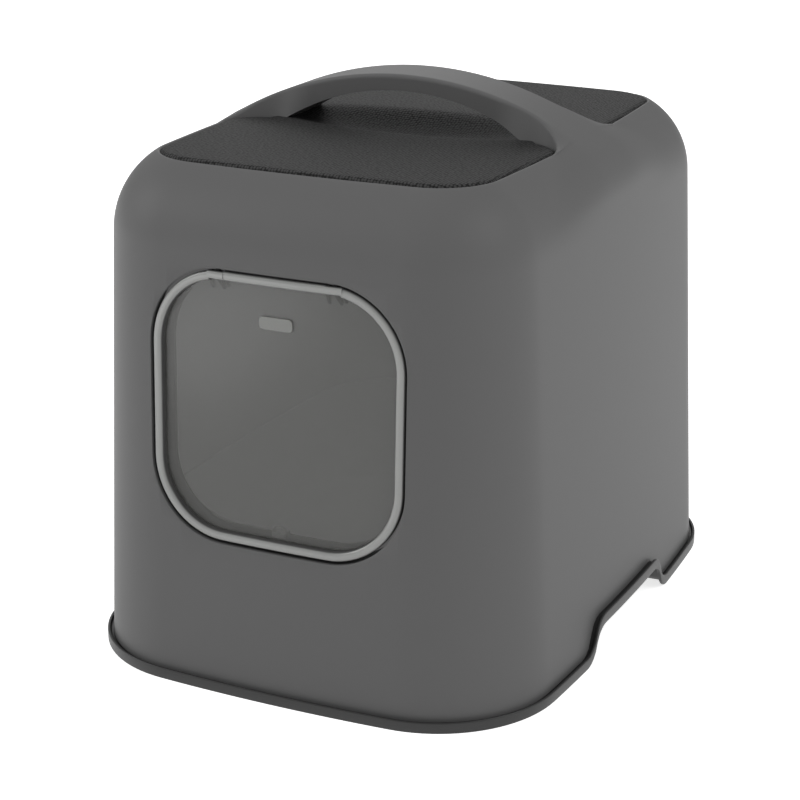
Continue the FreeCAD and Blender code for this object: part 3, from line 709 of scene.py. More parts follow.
def door_cutter(body, door):
    """A closed form that cuts the door's opening with a rounded outer edge."""
    radius = door.edge_round
    turns = np.radians((25, 42, 60, 78, 90))
    stages = [(door.gap + 2 * radius, -6 * radius), (door.gap + radius * 1.3, -0.3 * radius)]
    stages += [(door.gap + radius * (1 - math.sin(turn)), radius * (1 - math.cos(turn))) for turn in turns]
    stages.append((door.gap, 5 * body.hood_wall))
    plan = MeshPlan()
    rows = []
    count = len(even_outline(door, 0.0, door.sheet_step))
    for margin, depth in stages:
        places = resample(even_outline(door, margin, door.fine_step), count)
        y = front_face(body, places[:, 0], places[:, 1]) + depth
        rows.append(plan.add(np.stack((places[:, 0], y, places[:, 1]), axis=1)))
    plan.skin(np.stack(rows, axis=1), around=True)
    plan.faces.append(tuple(rows[0]))
    plan.faces.append(tuple(rows[-1][::-1]))
    return plan.mesh("door_cutter")


def cut_away(mesh, cutter):
    """Cuts one closed mesh out of another and returns the result as a new mesh."""
    solid = bpy.data.objects.new("solid", mesh)
    tool = bpy.data.objects.new("tool", cutter)
    for item in (solid, tool):
        bpy.context.scene.collection.objects.link(item)
    cut = solid.modifiers.new("cut", "BOOLEAN")
    cut.operation = "DIFFERENCE"
    cut.solver = "EXACT"
    cut.object = tool
    graph = bpy.context.evaluated_depsgraph_get()
    result = bpy.data.meshes.new_from_object(solid.evaluated_get(graph))
    result.name = mesh.name
    for item in (solid, tool):
        bpy.data.objects.remove(item)
    return result


def tray_mesh(body):
    """The tray: pan, channel and rolled rim, swept round the outline with the finger grips."""
    outline = Outline(body)
    side_turns = np.linspace(0, outline.side_turn, 44, endpoint=False)
    columns = outline.whole(outline.quarter(side_turns, 22, 18))
    wave = grip_wave(body, columns[:, 1])
    slope = math.tan(body.pan_draft)
    wall, lip, edge = body.rim_wall, body.rim_round, body.rim_height
    channel, under = body.channel_floor, body.channel_floor - body.flange

    def pan_inset(height):
        return body.pan_top_inset + (body.pan_height - height) * slope

    def bend(centre, radius, start, end, count=5):
        turns = np.radians(np.linspace(start, end, count))
        return [(centre[0] + radius * math.cos(t), centre[1] + radius * math.sin(t)) for t in turns]

    rim = [(wall, under), (wall, lip * 0.6)]
    rim += bend((wall - lip * 0.6, lip * 0.6), lip * 0.6, 0, -90, 4)
    rim += bend((lip * 0.6, lip * 0.6), lip * 0.6, -90, -180, 4)
    rim += bend((lip, edge - lip), lip, 180, 90)
    rim += bend((wall - lip, edge - lip), lip, 90, 0)
    rim += bend((wall + lip, channel + lip), lip, 180, 270)
    rounding = body.pan_wall / 2
    fillet = body.pan_fillet
    foot_inset = pan_inset(body.pan_wall) + body.pan_wall + fillet * slope
    pan = bend((body.pan_top_inset + rounding, body.pan_height - rounding), rounding, 180, 0, 9)
    pan += bend((foot_inset + fillet, body.pan_wall + fillet), fillet, 180, 270, 7)
    rows_inset, rows_height = [], []

    def row(inset, height):
        rows_inset.append(np.broadcast_to(inset, wave.shape))
        rows_height.append(np.broadcast_to(height, wave.shape))

    row(pan_inset(0.0), 0.0)
    row(pan_inset(under + wave), under + wave)
    for inset, height in rim:
        row(inset, height + wave)
    row(pan_inset(channel + wave), channel + wave)
    for inset, height in pan:
        row(inset, height)
    places = column_places(columns, np.stack(rows_inset, axis=1), np.stack(rows_height, axis=1))
    plan = MeshPlan()
    grid = plan.add(places)
    plan.skin(grid, around=True)
    plan.faces.append(tuple(grid[::-1, 0]))
    plan.faces.append(tuple(grid[:, -1]))
    return plan.mesh("tray_moulding")


class PadForm:
    """The pad's upper face: flat, with a rolled edge and a finger trough."""

    def __init__(self, pad):
        self.pad = pad
        self.trough_radius = bow_radius(pad.trough_width / 2, pad.trough_depth)
        self.trough_bow = bow_radius(pad.trough_length / 2, pad.trough_depth)
        self.trough_axis = pad.top - pad.trough_depth + self.trough_radius

    def height(self, x, y, from_edge):
        """Height of the upper face at a place and its distance from the pad's edge."""
        pad = self.pad
        reach = np.sqrt(self.trough_bow ** 2 - np.asarray(x) ** 2) - self.trough_bow + self.trough_radius
        reach = np.maximum(reach, 0.0)
        hollow = self.trough_axis - np.sqrt(np.maximum(reach ** 2 - np.asarray(y) ** 2, 0.0))
        part = np.clip(0.5 + 0.5 * (hollow - pad.top) / pad.trough_blend, 0, 1)
        face = hollow + (pad.top - hollow) * part - pad.trough_blend * part * (1 - part)
        inside = np.clip(from_edge / pad.roll, 0, 1)
        return face - pad.roll * (1 - np.sqrt(1 - (1 - inside) ** 2))


def pad_outline(form, pad):
    """The pad's outline in plan, anticlockwise: the roof opening with a notch for each foot of the handle."""
    body, handle, outline = form.body, form.handle, form.outline
    edge = HandlePlan(form, 24, 200)
    notch_end = handle.opening_width / 2 + pad.tuck
    notch = edge.places(edge.toe() + pad.gap)[::-1]
    notch = notch[notch[:, 0] > notch_end]
    notch = np.concatenate(([(notch_end, notch[0][1])], notch))
    inset = body.roof_edge_inset + pad.gap
    last_y = (body.side_bow - inset) * math.sin(outline.side_turn)
    side_y = np.linspace(edge.tip_y, last_y, 24, endpoint=False)[1:]
    side = np.stack((form.roof_edge(side_y, inset), side_y), axis=1)
    quarter = outline.quarter((), 30, 30)
    insets = inset + (body.roof_end_inset - body.roof_edge_inset) * quarter[:, 3:] ** 2
    rest = quarter[:, :2] + quarter[:, 2:] * insets
    mouth_y = np.linspace(0, notch[0][1], 8, endpoint=False)
    mouth = np.stack((np.full(len(mouth_y), notch_end), mouth_y), axis=1)
    one = np.concatenate((mouth, notch, side, rest))
    mirror_x, mirror_y = np.array((-1, 1)), np.array((1, -1))
    return np.concatenate((one, one[-2::-1] * mirror_x, -one[1:], one[-2:0:-1] * mirror_y))


def distance_to_line(places, line):
    """The least distance from each place to a closed line."""
    starts, ends = line, np.roll(line, -1, axis=0)
    ways = ends - starts
    sizes = np.maximum((ways ** 2).sum(axis=1), 1e-18)
    best = np.full(len(places), np.inf)
    for start, way, size in zip(starts, ways, sizes):
        part = np.clip(((places - start) @ way) / size, 0, 1)
        best = np.minimum(best, np.linalg.norm(places - start - part[:, None] * way, axis=1))
    return best


def inside_line(places, line):
    """Which places lie inside a closed line."""
    starts, ends = line, np.roll(line, -1, axis=0)
    hits = np.zeros(len(places), bool)
    for (x0, y0), (x1, y1) in zip(starts, ends):
        if y0 == y1:
            continue
        spans = (places[:, 1] >= min(y0, y1)) & (places[:, 1] < max(y0, y1))
        cross = x0 + (places[:, 1] - y0) * (x1 - x0) / (y1 - y0)
        hits ^= spans & (places[:, 0] < cross)
    return hits


def pad_mesh(form, pad):
    """The pad: a curved sheet with rolled edges, closed underneath."""
    shape = PadForm(pad)
    line = pad_outline(form, pad)
    closed = np.concatenate((line, line[:1]))
    around = np.linalg.norm(np.diff(closed, axis=0), axis=1).sum()
    line = resample(closed, int(around / pad.line_step))[:-1]
    step = pad.mesh_size
    reach = np.abs(line).max(axis=0)
    columns = np.arange(-reach[0], reach[0], step)
    rows = np.arange(-reach[1], reach[1], step * math.sqrt(0.75))
    grid = np.array([(x + (index % 2) * step / 2, y) for index, y in enumerate(rows) for x in columns])
    grid = grid[inside_line(grid, line)]
    away = distance_to_line(grid, line)
    grid = grid[away > pad.roll + step * 0.4]
    along = np.roll(line, -1, axis=0) - np.roll(line, 1, axis=0)
    into = np.stack((-along[:, 1], along[:, 0]), axis=1)
    into /= np.linalg.norm(into, axis=1)[:, None]
    bands = [line]
    for share in (0.06, 0.18, 0.35, 0.6, 1.0):
        band = line + into * pad.roll * share
        keep = distance_to_line(band, line) > pad.roll * share * 0.97
        bands.append(band[keep])
    places = np.concatenate(bands + [grid])
    border = [(at, (at + 1) % len(line)) for at in range(len(line))]
    flat, _, faces, _, _, _ = delaunay_2d_cdt([Vector(p) for p in places], border, [], 1, 1e-7)
    flat = np.array([tuple(p) for p in flat])
    from_edge = np.concatenate((np.zeros(len(line)), distance_to_line(flat[len(line):], line)))
    height = shape.height(flat[:, 0], flat[:, 1], from_edge)
    plan = MeshPlan()
    upper = plan.add(np.column_stack((flat, height)))
    base = shape.height(flat[:, 0], flat[:, 1], np.full(len(flat), pad.roll)) - pad.thickness - pad.roll * 0.2
    lower = plan.add(np.column_stack((flat, base)))
    for face in faces:
        plan.faces.append(tuple(upper[list(face)]))
        plan.faces.append(tuple(lower[list(face)][::-1]))
    for start, end in border:
        plan.faces.append((lower[start], lower[end], upper[end], upper[start]))
    return plan.mesh("roof_pad_skin")


def add_node(tree, kind, settings=None, links=None):
    """Adds a node, sets its inputs or properties, and links its inputs to other nodes' outputs."""
    node = tree.nodes.new(kind)
    for name, value in (settings or {}).items():
        if isinstance(name, int) or name in node.inputs:
            node.inputs[name].default_value = value
        else:
            setattr(node, name, value)
    for name, source in (links or {}).items():
        tree.links.new(source, node.inputs[name])
    return node


def plain_material(name, **sockets):
    """A material with one surface shader whose sockets are set directly."""
    material = bpy.data.materials.new(name)
    material.use_nodes = True
    shader = material.node_tree.nodes["Principled BSDF"]
    for socket, value in sockets.items():
        shader.inputs[socket.replace("_", " ")].default_value = value
    return material


def shader_tree(material):
    """A material's node tree and its surface shader."""
    return material.node_tree, material.node_tree.nodes["Principled BSDF"]


def hood_plastic(finish):
    """Injection-moulded polypropylene from a finely eroded mould: satin, with wide soft highlights."""
    return plain_material(
        "satin_moulded_polypropylene", Base_Color=linear(finish.hood), Roughness=0.48, IOR=1.49,
        Specular_IOR_Level=0.16,
    )


def painted_glow_plastic(name, finish):
    """The inside of the polypropylene walls, with a painted glow that stands in for the daylight the walls let through:
    an even, shadowless grey.
    """
    return plain_material(
        name, Base_Color=linear(finish.tray), Roughness=0.6, IOR=1.49, Emission_Color=linear(finish.cabin),
        Emission_Strength=1.0,
    )


def painted_shade_plastic(finish):
    """The same polypropylene on the inner collar, drawn darker as painted shade because it lies in the recess."""
    return plain_material("painted_shade_polypropylene", Base_Color=linear(finish.collar), Roughness=0.55, IOR=1.49)


def tray_plastic(finish):
    """Dark polypropylene of the tray: satin, a little glossier on the rounded rim."""
    return plain_material("dark_moulded_polypropylene", Base_Color=linear(finish.tray), Roughness=0.42, IOR=1.49)


def pad_grain(finish, pad):
    """Soft-touch thermoplastic with a textile grain pressed in from above: matt dots, with painted shade in near black
    in the hollows between them.
    """
    material = plain_material("textile_grained_soft_plastic", Roughness=0.62, IOR=1.5, Specular_IOR_Level=0.22)
    tree, shader = shader_tree(material)
    place = add_node(tree, "ShaderNodeTexCoord").outputs
    # The dots are drawn a little further apart than the real ones look, so that they show
    dots = add_node(tree, "ShaderNodeTexVoronoi", {
        "voronoi_dimensions": "2D", "feature": "F1", "Scale": 1 / pad.grain_pitch, "Randomness": 0.35,
    }, {"Vector": place["Object"]}).outputs
    # Painted shade: the hollows between the dots are drawn near black
    pit_shade = add_node(tree, "ShaderNodeMapRange", {"From Min": 0.24, "From Max": 0.56}, {"Value": dots["Distance"]})
    relief = add_node(tree, "ShaderNodeBump", {
        "Strength": 1.0, "Distance": pad.grain_relief, "invert": True,
    }, {"Height": dots["Distance"]})
    shade = add_node(tree, "ShaderNodeMix", {
        "data_type": "RGBA", 6: linear(finish.pad), 7: linear(finish.pad_pit_shade),
    }, {0: pit_shade.outputs["Result"]})
    tree.links.new(shade.outputs[2], shader.inputs["Base Color"])
    tree.links.new(relief.outputs["Normal"], shader.inputs["Normal"])
    return material


def bead_painted_sheen_and_shade(finish):
    """Clear styrene bead, glossy, drawn with a pale grey on the front as painted sheen of the light it catches. On its
    flanks the eye looks through it into the gap, drawn as a darker grey of painted shade.
    """
    material = plain_material("glossy_styrene_painted_sheen_and_shade", Roughness=0.28, IOR=1.57)
    tree, shader = shader_tree(material)
    place = add_node(tree, "ShaderNodeTexCoord").outputs
    split = add_node(tree, "ShaderNodeSeparateXYZ", {}, {"Vector": place["Normal"]}).outputs
    # Faces turned away from the front get the painted shade, faces towards it the painted sheen
    flank_shade = add_node(tree, "ShaderNodeMapRange", {"From Min": -0.80, "From Max": -0.30}, {"Value": split["Y"]})
    shade = add_node(tree, "ShaderNodeMix", {
        "data_type": "RGBA", 6: linear(finish.bead), 7: linear(finish.bead_flank_shade),
    }, {0: flank_shade.outputs["Result"]})
    tree.links.new(shade.outputs[2], shader.inputs["Base Color"])
    return material


def clear_plastic(finish):
    """Thin clear styrene of the catch: see-through, tinted with the bead's pale painted sheen, with bright edges where
    it turns away.
    """
    return plain_material("clear_styrene", Base_Color=linear(finish.bead), Roughness=0.15, IOR=1.57, Alpha=0.7)


def window_plastic(finish):
    """Thin clear styrene panel: mostly see-through, with a slight haze and a soft gloss."""
    return plain_material(
        "clear_styrene_panel", Base_Color=linear(finish.window), Roughness=0.18, IOR=1.57, Alpha=0.36
    )


def badge_plastic(finish):
    """Frosted plate on the panel: paler than the panel and matt."""
    return plain_material(
        "frosted_styrene_plate", Base_Color=linear(finish.badge), Roughness=0.45, IOR=1.57, Alpha=0.85
    )


def fitting_plastic(finish):
    """Acetal of the hinge and filter fittings: smooth and slightly waxy."""
    return plain_material("grey_acetal", Base_Color=linear(finish.fitting), Roughness=0.38, IOR=1.48)


def filter_mat(finish):
    """Open carbon foam: matt and nearly black."""
    return plain_material("carbon_foam", Base_Color=linear(finish.filter), Roughness=0.9, IOR=1.45)


def floor_paint(finish, stage):
    """Matt white studio floor. The eye also sees it evenly lit, and it keeps the shadow of what stands on it."""
    material = plain_material(
        "matt_white_floor", Base_Color=linear(finish.floor), Roughness=0.9, Specular_IOR_Level=0.0,
        Emission_Color=(1.0, 1.0, 1.0, 1.0),
    )
    tree, shader = shader_tree(material)
    path = add_node(tree, "ShaderNodeLightPath").outputs
    seen = add_node(tree, "ShaderNodeMath", {"operation": "MAXIMUM"}, {
        0: path["Is Camera Ray"], 1: path["Is Glossy Ray"],
    })
    seen_through = add_node(tree, "ShaderNodeMath", {"operation": "MAXIMUM"}, {
        0: seen.outputs[0], 1: path["Is Transmission Ray"],
    })
    glow = add_node(tree, "ShaderNodeMath", {"operation": "MULTIPLY", 1: stage.floor_glow}, {
        0: seen_through.outputs[0],
    })
    tree.links.new(glow.outputs[0], shader.inputs["Emission Strength"])
    return material


def card_paint(stage):
    """A softly lit white card, seen only as a reflection in the door's panel."""
    return plain_material(
        "white_card", Base_Color=(0.0, 0.0, 0.0, 1.0), Roughness=1.0, Emission_Color=(1.0, 1.0, 1.0, 1.0),
        Emission_Strength=stage.card_glow,
    )


def dress(node, material):
    """Gives a node of the frame its finish."""
    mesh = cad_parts[node].data
    mesh.materials.clear()
    mesh.materials.append(material)


class LITTERBOX_OT_stage(bpy.types.Operator):
    """Sets the floor, the light and the camera."""

    bl_idname = "litterbox.stage"
    bl_label = "Stage"

    def execute(self, context):
        scene = context.scene
        stage = scene.litter_box_stage
        scene.view_settings.view_transform = "Standard"
        half = stage.floor_size / 2
        mesh = bpy.data.meshes.new("studio_floor")
        mesh.from_pydata([(-half, -half, 0), (half, -half, 0), (half, half, 0), (-half, half, 0)], [], [(0, 1, 2, 3)])
        floor = bpy.data.objects.new("studio_floor", mesh)
        scene.collection.objects.link(floor)
        mesh.materials.append(floor_paint(scene.litter_box_finish, stage))

        world = bpy.data.worlds.new("studio")
        world.use_nodes = True
        tree = world.node_tree
        sky = tree.nodes["Background"]
        sky.inputs["Color"].default_value = (1.0, 1.0, 1.0, 1.0)
        path = add_node(tree, "ShaderNodeLightPath").outputs
        seen = add_node(tree, "ShaderNodeMath", {"operation": "MAXIMUM"}, {
            0: path["Is Camera Ray"], 1: path["Is Transmission Ray"],
        })
        strength = add_node(tree, "ShaderNodeMapRange", {
            "To Min": stage.world_strength, "To Max": 1.0,
        }, {"Value": seen.outputs[0]})
        tree.links.new(strength.outputs["Result"], sky.inputs["Strength"])
        scene.world = world

        for name, (place, size, power) in LAMPS.items():
            light = bpy.data.lights.new(name, "AREA")
            light.shape = "DISK"
            light.size = size
            light.energy = power
            item = bpy.data.objects.new(name, light)
            item.location = place
            item.rotation_euler = (Vector(stage.lamp_aim) - Vector(place)).to_track_quat("-Z", "Y").to_euler()
            scene.collection.objects.link(item)


        card = bpy.data.meshes.new("white_card")
        card.from_pydata(list(CARD), [], [(0, 1, 2, 3)])
        card.materials.append(card_paint(stage))
        board = bpy.data.objects.new("white_card", card)
        scene.collection.objects.link(board)
        board.visible_camera = False
        board.visible_diffuse = False
        board.visible_shadow = False

        eye = bpy.data.cameras.new("photo_view")
        eye.sensor_width = SENSOR_WIDTH
        eye.lens = stage.lens
        eye.shift_x = stage.shift
        eye.clip_end = SIGHT
        camera = bpy.data.objects.new("photo_view", eye)
        camera.location = stage.camera_place
        camera.rotation_euler = (math.pi / 2 - stage.camera_pitch, 0.0, stage.camera_turn)
        scene.collection.objects.link(camera)
        scene.camera = camera
        return {"FINISHED"}


class LITTERBOX_OT_hood(bpy.types.Operator):
    """Makes the hood with its handle in one moulding, and finishes the collar."""

    bl_idname = "litterbox.hood"
    bl_label = "Hood"

    def execute(self, context):
        scene = context.scene
        body, door = scene.litter_box_body, scene.litter_box_door
        form = HoodForm(body, scene.litter_box_handle, scene.litter_box_pad)
        mesh = cut_away(hood_mesh(form), door_cutter(body, door))
        smooth(mesh, CREASE)
        finish = scene.litter_box_finish
        half_width, half_depth = body.rim_width / 2, body.rim_depth / 2
        materials = (hood_plastic(finish), painted_glow_plastic("inner_hood_painted_glow", finish))
        place_piece(mesh, "hood_moulding", materials, "hood", "hood_plastic", ("hood_shell", "carry_handle"))
        # The faces that look inwards get the painted glow
        mark_inside(mesh, (-half_width, DOOR_HIGH[1], 0.0), (half_width, half_depth, PAD_LOW[2]))
        dress("door_collar", painted_shade_plastic(finish))
        return {"FINISHED"}


class LITTERBOX_OT_tray(bpy.types.Operator):
    """Makes the tray with its rolled rim."""

    bl_idname = "litterbox.tray"
    bl_label = "Tray"

    def execute(self, context):
        scene = context.scene
        body, finish = scene.litter_box_body, scene.litter_box_finish
        mesh = tray_mesh(body)
        smooth(mesh, CREASE)
        materials = (tray_plastic(finish), painted_glow_plastic("inner_tray_painted_glow", finish))
        place_piece(mesh, "tray_moulding", materials, "tray", "tray_plastic", ("litter_tray",))
        outline = Outline(body)
        # The faces inside the pan get the painted glow
        for face in mesh.polygons:
            x, y, z = face.center
            wall = body.pan_top_inset + (body.pan_height - z) * math.tan(body.pan_draft)
            inside = outline.inset(x, y) > wall + body.pan_wall / 4
            face.material_index = int(inside and face.normal.z > -0.5)
        return {"FINISHED"}


class LITTERBOX_OT_pad(bpy.types.Operator):
    """Makes the grained roof pad."""

    bl_idname = "litterbox.pad"
    bl_label = "Roof pad"

    def execute(self, context):
        scene = context.scene
        pad = scene.litter_box_pad
        form = HoodForm(scene.litter_box_body, scene.litter_box_handle, pad)
        mesh = pad_mesh(form, pad)
        smooth(mesh, PAD_CREASE)
        place_piece(mesh, "roof_pad_skin", pad_grain(scene.litter_box_finish, pad), "hood", "pad_grain", ("roof_pad",))
        return {"FINISHED"}


def sweep_tree():
    """A node tree that sweeps a rounded bar along the edges of a mesh."""
    tree = bpy.data.node_groups.new("bar_sweep", "GeometryNodeTree")
    face = tree.interface
    face.new_socket("Geometry", in_out="INPUT", socket_type="NodeSocketGeometry")
    for name in ("Width", "Depth", "Rounding"):
        face.new_socket(name, in_out="INPUT", socket_type="NodeSocketFloat")
    face.new_socket("Material", in_out="INPUT", socket_type="NodeSocketMaterial")
    face.new_socket("Geometry", in_out="OUTPUT", socket_type="NodeSocketGeometry")
    given = add_node(tree, "NodeGroupInput").outputs
    path = add_node(tree, "GeometryNodeMeshToCurve", {}, {"Mesh": given["Geometry"]})
    bar = add_node(tree, "GeometryNodeCurvePrimitiveQuadrilateral", {}, {
        "Width": given["Depth"], "Height": given["Width"],
    })
    rounded = add_node(tree, "GeometryNodeFilletCurve", {"mode": "POLY", "Count": 5}, {
        "Curve": bar.outputs["Curve"], "Radius": given["Rounding"],
    })
    swept = add_node(tree, "GeometryNodeCurveToMesh", {"Fill Caps": True}, {
        "Curve": path.outputs["Curve"], "Profile Curve": rounded.outputs["Curve"],
    })
    real = add_node(tree, "GeometryNodeRealizeInstances", {}, {"Geometry": swept.outputs["Mesh"]})
    finished = add_node(tree, "GeometryNodeSetMaterial", {}, {
        "Geometry": real.outputs["Geometry"], "Material": given["Material"],
    })
    add_node(tree, "NodeGroupOutput", {}, {"Geometry": finished.outputs["Geometry"]})
    return tree


def swept_mesh(tree, name, runs, width, depth, rounding, material):
    """A rounded bar swept along runs of places, each open or closed, as a mesh."""
    places, edges = [], []
    for run, closed in runs:
        first = len(places)
        places.extend(map(tuple, run))
        edges += [(first + at, first + at + 1) for at in range(len(run) - 1)]
        if closed:
            edges.append((first + len(run) - 1, first))
    path = bpy.data.meshes.new(name + "_path")
    path.from_pydata(places, edges, [])
    item = bpy.data.objects.new(name + "_path", path)
    bpy.context.scene.collection.objects.link(item)
    sweep = item.modifiers.new("sweep", "NODES")
    sweep.node_group = tree
    given = {"Width": width, "Depth": depth, "Rounding": rounding, "Material": material}
    for socket in tree.interface.items_tree:
        if socket.in_out == "INPUT" and socket.name in given:
            sweep[socket.identifier] = given[socket.name]
    graph = bpy.context.evaluated_depsgraph_get()
    mesh = bpy.data.meshes.new_from_object(item.evaluated_get(graph))
    mesh.name = name
    bpy.data.objects.remove(item)
    if not mesh.polygons:
        raise RuntimeError("The sweep of " + name + " has no faces.")
    outward(mesh)
    return mesh


def bead_runs(body, door):
    """The bead's middle line, in two runs between the hinge notches."""
    line = even_outline(door, -door.bead_width / 2, door.bar_step)
    y = front_face(body, line[:, 0], line[:, 1]) - door.stand_out + door.bead_depth / 2
    line = np.stack((line[:, 0], y, line[:, 1]), axis=1)
    upper = line[:, 2] > door.top - door.size / 2
    notch = upper & (np.abs(np.abs(line[:, 0]) - door.hinge_half) < door.notch_half)
    starts = [at for at in range(len(line)) if notch[at - 1] and not notch[at]]
    runs = []
    for start in starts:
        run = []
        while not notch[start % len(line)]:
            run.append(line[start % len(line)])
            start += 1
        runs.append((np.array(run), False))
    return runs


def knuckle_runs(body, door):
    """The middle line of the clear knuckle in each hinge notch."""
    runs = []
    for side in (-1, 1):
        x = side * door.hinge_half + np.linspace(-1.3, 1.3, 7) * door.notch_half
        z = np.full(len(x), door.top - door.bead_width / 2)
        y = front_face(body, x, z) + door.knuckle_inset + door.knuckle_width / 2
        runs.append((np.stack((x, y, z), axis=1), False))
    return runs


def arm_runs(body, door, side):
    """The middle lines of a hinge's two arms, which run down and back behind the panel."""
    top = door.top - door.bead_width - door.arm_width / 4
    behind = door.panel_depth + door.panel_thickness + door.arm_width / 2
    runs = []
    for offset in (-door.arm_spread, door.arm_spread):
        share = np.linspace(0, 1, 4)
        x = np.full(4, side * door.hinge_half + door.arm_shift + offset)
        y = front_face(body, x, top) + behind + share * door.arm_run
        runs.append((np.stack((x, y, top - share * door.arm_drop), axis=1), False))
    return runs


def skirt_runs(body, door, behind):
    """A line along the bead's inner edge, down one side, along the bottom and up the other, at a depth."""
    line = even_outline(door, -door.bead_width + door.skirt_wall / 2, door.bar_step)
    line = np.roll(line, -int(np.argmax(line[:, 1])), axis=0)
    line = line[line[:, 1] < door.skirt_top]
    y = front_face(body, line[:, 0], line[:, 1]) - door.stand_out + behind
    return [(np.stack((line[:, 0], y, line[:, 1]), axis=1), False)]


def loop_runs(body, door):
    """The middle line of the catch's loop, behind the bead at the bottom middle."""
    turns = np.linspace(0, 2 * math.pi, 33)[:-1]
    low = door.top - door.size + door.bead_width + door.loop_radius * 0.8
    y = float(front_face(body, 0.0, low)) - door.stand_out + door.loop_back
    x, z = door.loop_radius * np.sin(turns), low + door.loop_radius * np.cos(turns)
    return [(np.stack((x, np.full(len(x), y), z), axis=1), True)]


def panel_mesh(body, door):
    """The clear panel: a bowed sheet inside the bead."""
    line = even_outline(door, -door.bead_width * 0.8, door.sheet_step)
    middle = np.array((0.0, door.top - door.size / 2))
    front = door.panel_depth - door.stand_out
    plan = MeshPlan()
    layers = []
    for depth in (front, front + door.panel_thickness):
        rings = []
        for share in (1.0, 0.85, 0.7, 0.5, 0.3, 0.1):
            flat = middle + (line - middle) * share
            y = front_face(body, flat[:, 0], flat[:, 1]) + depth
            rings.append(plan.add(np.stack((flat[:, 0], y, flat[:, 1]), axis=1)))
        layers.append(rings)
    for rings in layers:
        plan.skin(np.stack(rings, axis=1), around=True)
        plan.faces.append(tuple(rings[-1]))
    plan.skin(np.stack((layers[0][0], layers[1][0]), axis=1), around=True)
    return plan.mesh("door_panel")


def plate_mesh(low, high, radius, name):
    """A plate with rounded corners between two corners of a box, facing along Y."""
    half = np.array((high[0] - low[0], high[2] - low[2])) / 2
    middle = np.array((high[0] + low[0], high[2] + low[2])) / 2
    line = []
    for quarter, corner in enumerate(((1, 1), (-1, 1), (-1, -1), (1, -1))):
        for turn in np.linspace(0, math.pi / 2, 7) + quarter * math.pi / 2:
            line.append(middle + (half - radius) * corner + radius * np.array((math.cos(turn), math.sin(turn))))
    line = np.array(line)
    plan = MeshPlan()
    rows = [plan.add(np.stack((line[:, 0], np.full(len(line), y), line[:, 1]), axis=1)) for y in (low[1], high[1])]
    plan.skin(np.stack(rows, axis=1), around=True)
    plan.faces.append(tuple(rows[0]))
    plan.faces.append(tuple(rows[1][::-1]))
    return plan.mesh(name)


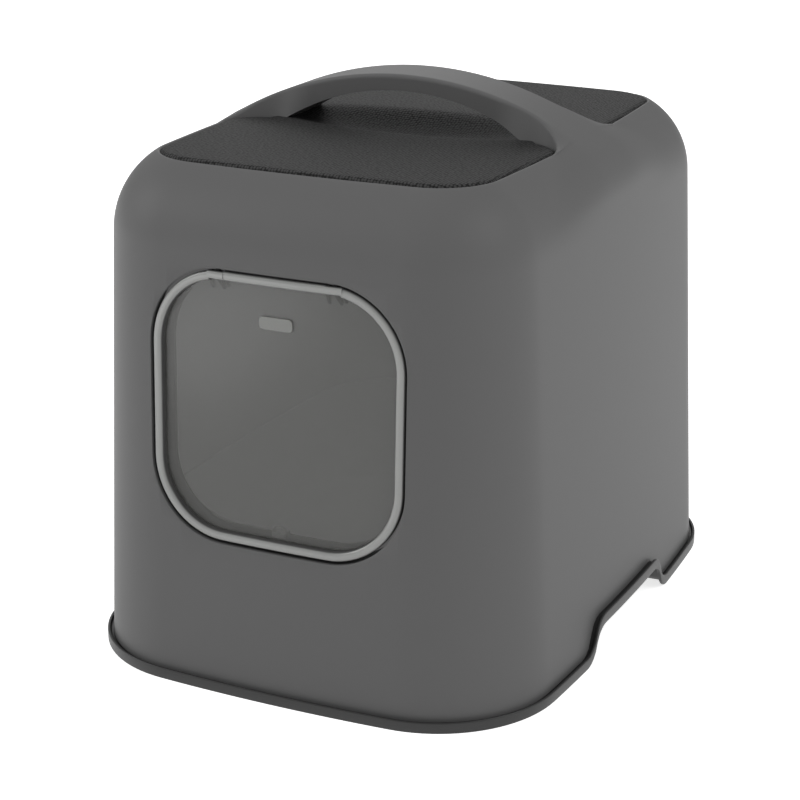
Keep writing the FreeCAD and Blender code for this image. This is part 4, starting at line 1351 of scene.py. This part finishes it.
class LITTERBOX_OT_door(bpy.types.Operator):
    """Makes the door's bead, knuckles, arms and catch, and finishes the panel and the hinges."""

    bl_idname = "litterbox.door"
    bl_label = "Door"

    def execute(self, context):
        scene = context.scene
        body, door, finish = scene.litter_box_body, scene.litter_box_door, scene.litter_box_finish
        bead, clear, fitting = bead_painted_sheen_and_shade(finish), clear_plastic(finish), fitting_plastic(finish)
        tree = sweep_tree()

        def sweep(name, runs, width, depth, rounding, material, slot, nodes=()):
            mesh = swept_mesh(tree, name, runs, width, depth, rounding, material)
            smooth(mesh, CREASE)
            place_piece(mesh, name, material, "door", slot, nodes)

        sweep("door_bead", bead_runs(body, door), door.bead_width, door.bead_depth, door.bead_round, bead,
              "door_bead", ("door_frame",))
        middle = door.panel_depth + door.panel_thickness + door.skirt_depth / 2
        # The skirt takes the collar's painted shade
        sweep("door_skirt", skirt_runs(body, door, middle), door.skirt_wall, door.skirt_depth,
              door.skirt_wall / 4, painted_shade_plastic(finish), "door_bead")
        sweep("door_skirt_edge", skirt_runs(body, door, middle + door.skirt_depth / 2), door.skirt_wall * 1.4,
              door.skirt_wall, door.skirt_wall / 4, clear, "door_bead")
        sweep("hinge_knuckles", knuckle_runs(body, door), door.knuckle_width, door.knuckle_width,
              door.knuckle_width / 3, bead, "door_bead")
        for name, side in (("left", -1), ("right", 1)):
            sweep("hinge_arms_" + name, arm_runs(body, door, side), door.arm_width, door.arm_width, door.arm_width / 5,
                  fitting, "hinge_plastic")
        sweep("catch_loop", loop_runs(body, door), door.loop_wire, door.loop_wire, door.loop_wire / 2.2, clear,
              "door_bead")
        panel = panel_mesh(body, door)
        smooth(panel, CREASE)
        place_piece(panel, "door_panel", window_plastic(finish), "door", "window_clear", ("door_window",))
        front = float(front_face(body, 0.0, BADGE_HIGH[2])) + door.panel_depth - door.stand_out
        thickness = BADGE_HIGH[1] - BADGE_LOW[1]
        low = (BADGE_LOW[0], front - thickness, BADGE_LOW[2])
        high = (BADGE_HIGH[0], front + door.panel_thickness / 2, BADGE_HIGH[2])
        plate = plate_mesh(low, high, door.badge_round, "badge_rounded")
        place_piece(plate, "badge_rounded", badge_plastic(finish), "door", "badge_frost", ("badge_plate",))
        dress("door_catch", clear)
        # The strike takes the collar's painted shade too
        dress("catch_strike", painted_shade_plastic(finish))
        for side in ("left", "right"):
            for piece in ("hinge_pin_", "hinge_lugs_", "hinge_hook_"):
                dress(piece + side, fitting)
        return {"FINISHED"}


class LITTERBOX_OT_filter(bpy.types.Operator):
    """Finishes the odour filter and its holder."""

    bl_idname = "litterbox.filter"
    bl_label = "Odour filter"

    def execute(self, context):
        finish = context.scene.litter_box_finish
        fitting = fitting_plastic(finish)
        dress("filter_holder", fitting)
        dress("filter_brackets", fitting)
        dress("carbon_filter", filter_mat(finish))
        return {"FINISHED"}


OPERATORS = (
    LITTERBOX_OT_stage,
    LITTERBOX_OT_hood,
    LITTERBOX_OT_tray,
    LITTERBOX_OT_pad,
    LITTERBOX_OT_door,
    LITTERBOX_OT_filter,
)


class LITTERBOX_PT_panel(bpy.types.Panel):
    """Lists the sizes and the steps of the litter box."""

    bl_idname = "LITTERBOX_PT_panel"
    bl_label = "Litter Box"
    bl_space_type = "VIEW_3D"
    bl_region_type = "UI"
    bl_category = "Litter Box"

    def draw(self, context):
        for operator in OPERATORS:
            self.layout.operator(operator.bl_idname)
        for name in SETTINGS:
            group = getattr(context.scene, name)
            column = self.layout.column()
            for key in group.bl_rna.properties.keys():
                if key not in ("rna_type", "name"):
                    column.prop(group, key)


def register():
    """Registers the settings, the steps and the panel."""
    for name, group in SETTINGS.items():
        bpy.utils.register_class(group)
        setattr(bpy.types.Scene, name, PointerProperty(type=group))
    for item in OPERATORS + (LITTERBOX_PT_panel,):
        bpy.utils.register_class(item)


def unregister():
    """Takes the settings, the steps and the panel away again."""
    for item in (LITTERBOX_PT_panel,) + OPERATORS[::-1]:
        bpy.utils.unregister_class(item)
    for name, group in SETTINGS.items():
        delattr(bpy.types.Scene, name)
        bpy.utils.unregister_class(group)


def main():
    """Builds the whole scene."""
    register()
    for operator in OPERATORS:
        group, step = operator.bl_idname.split(".")
        getattr(getattr(bpy.ops, group), step)()


if __name__ == "__main__":
    main()
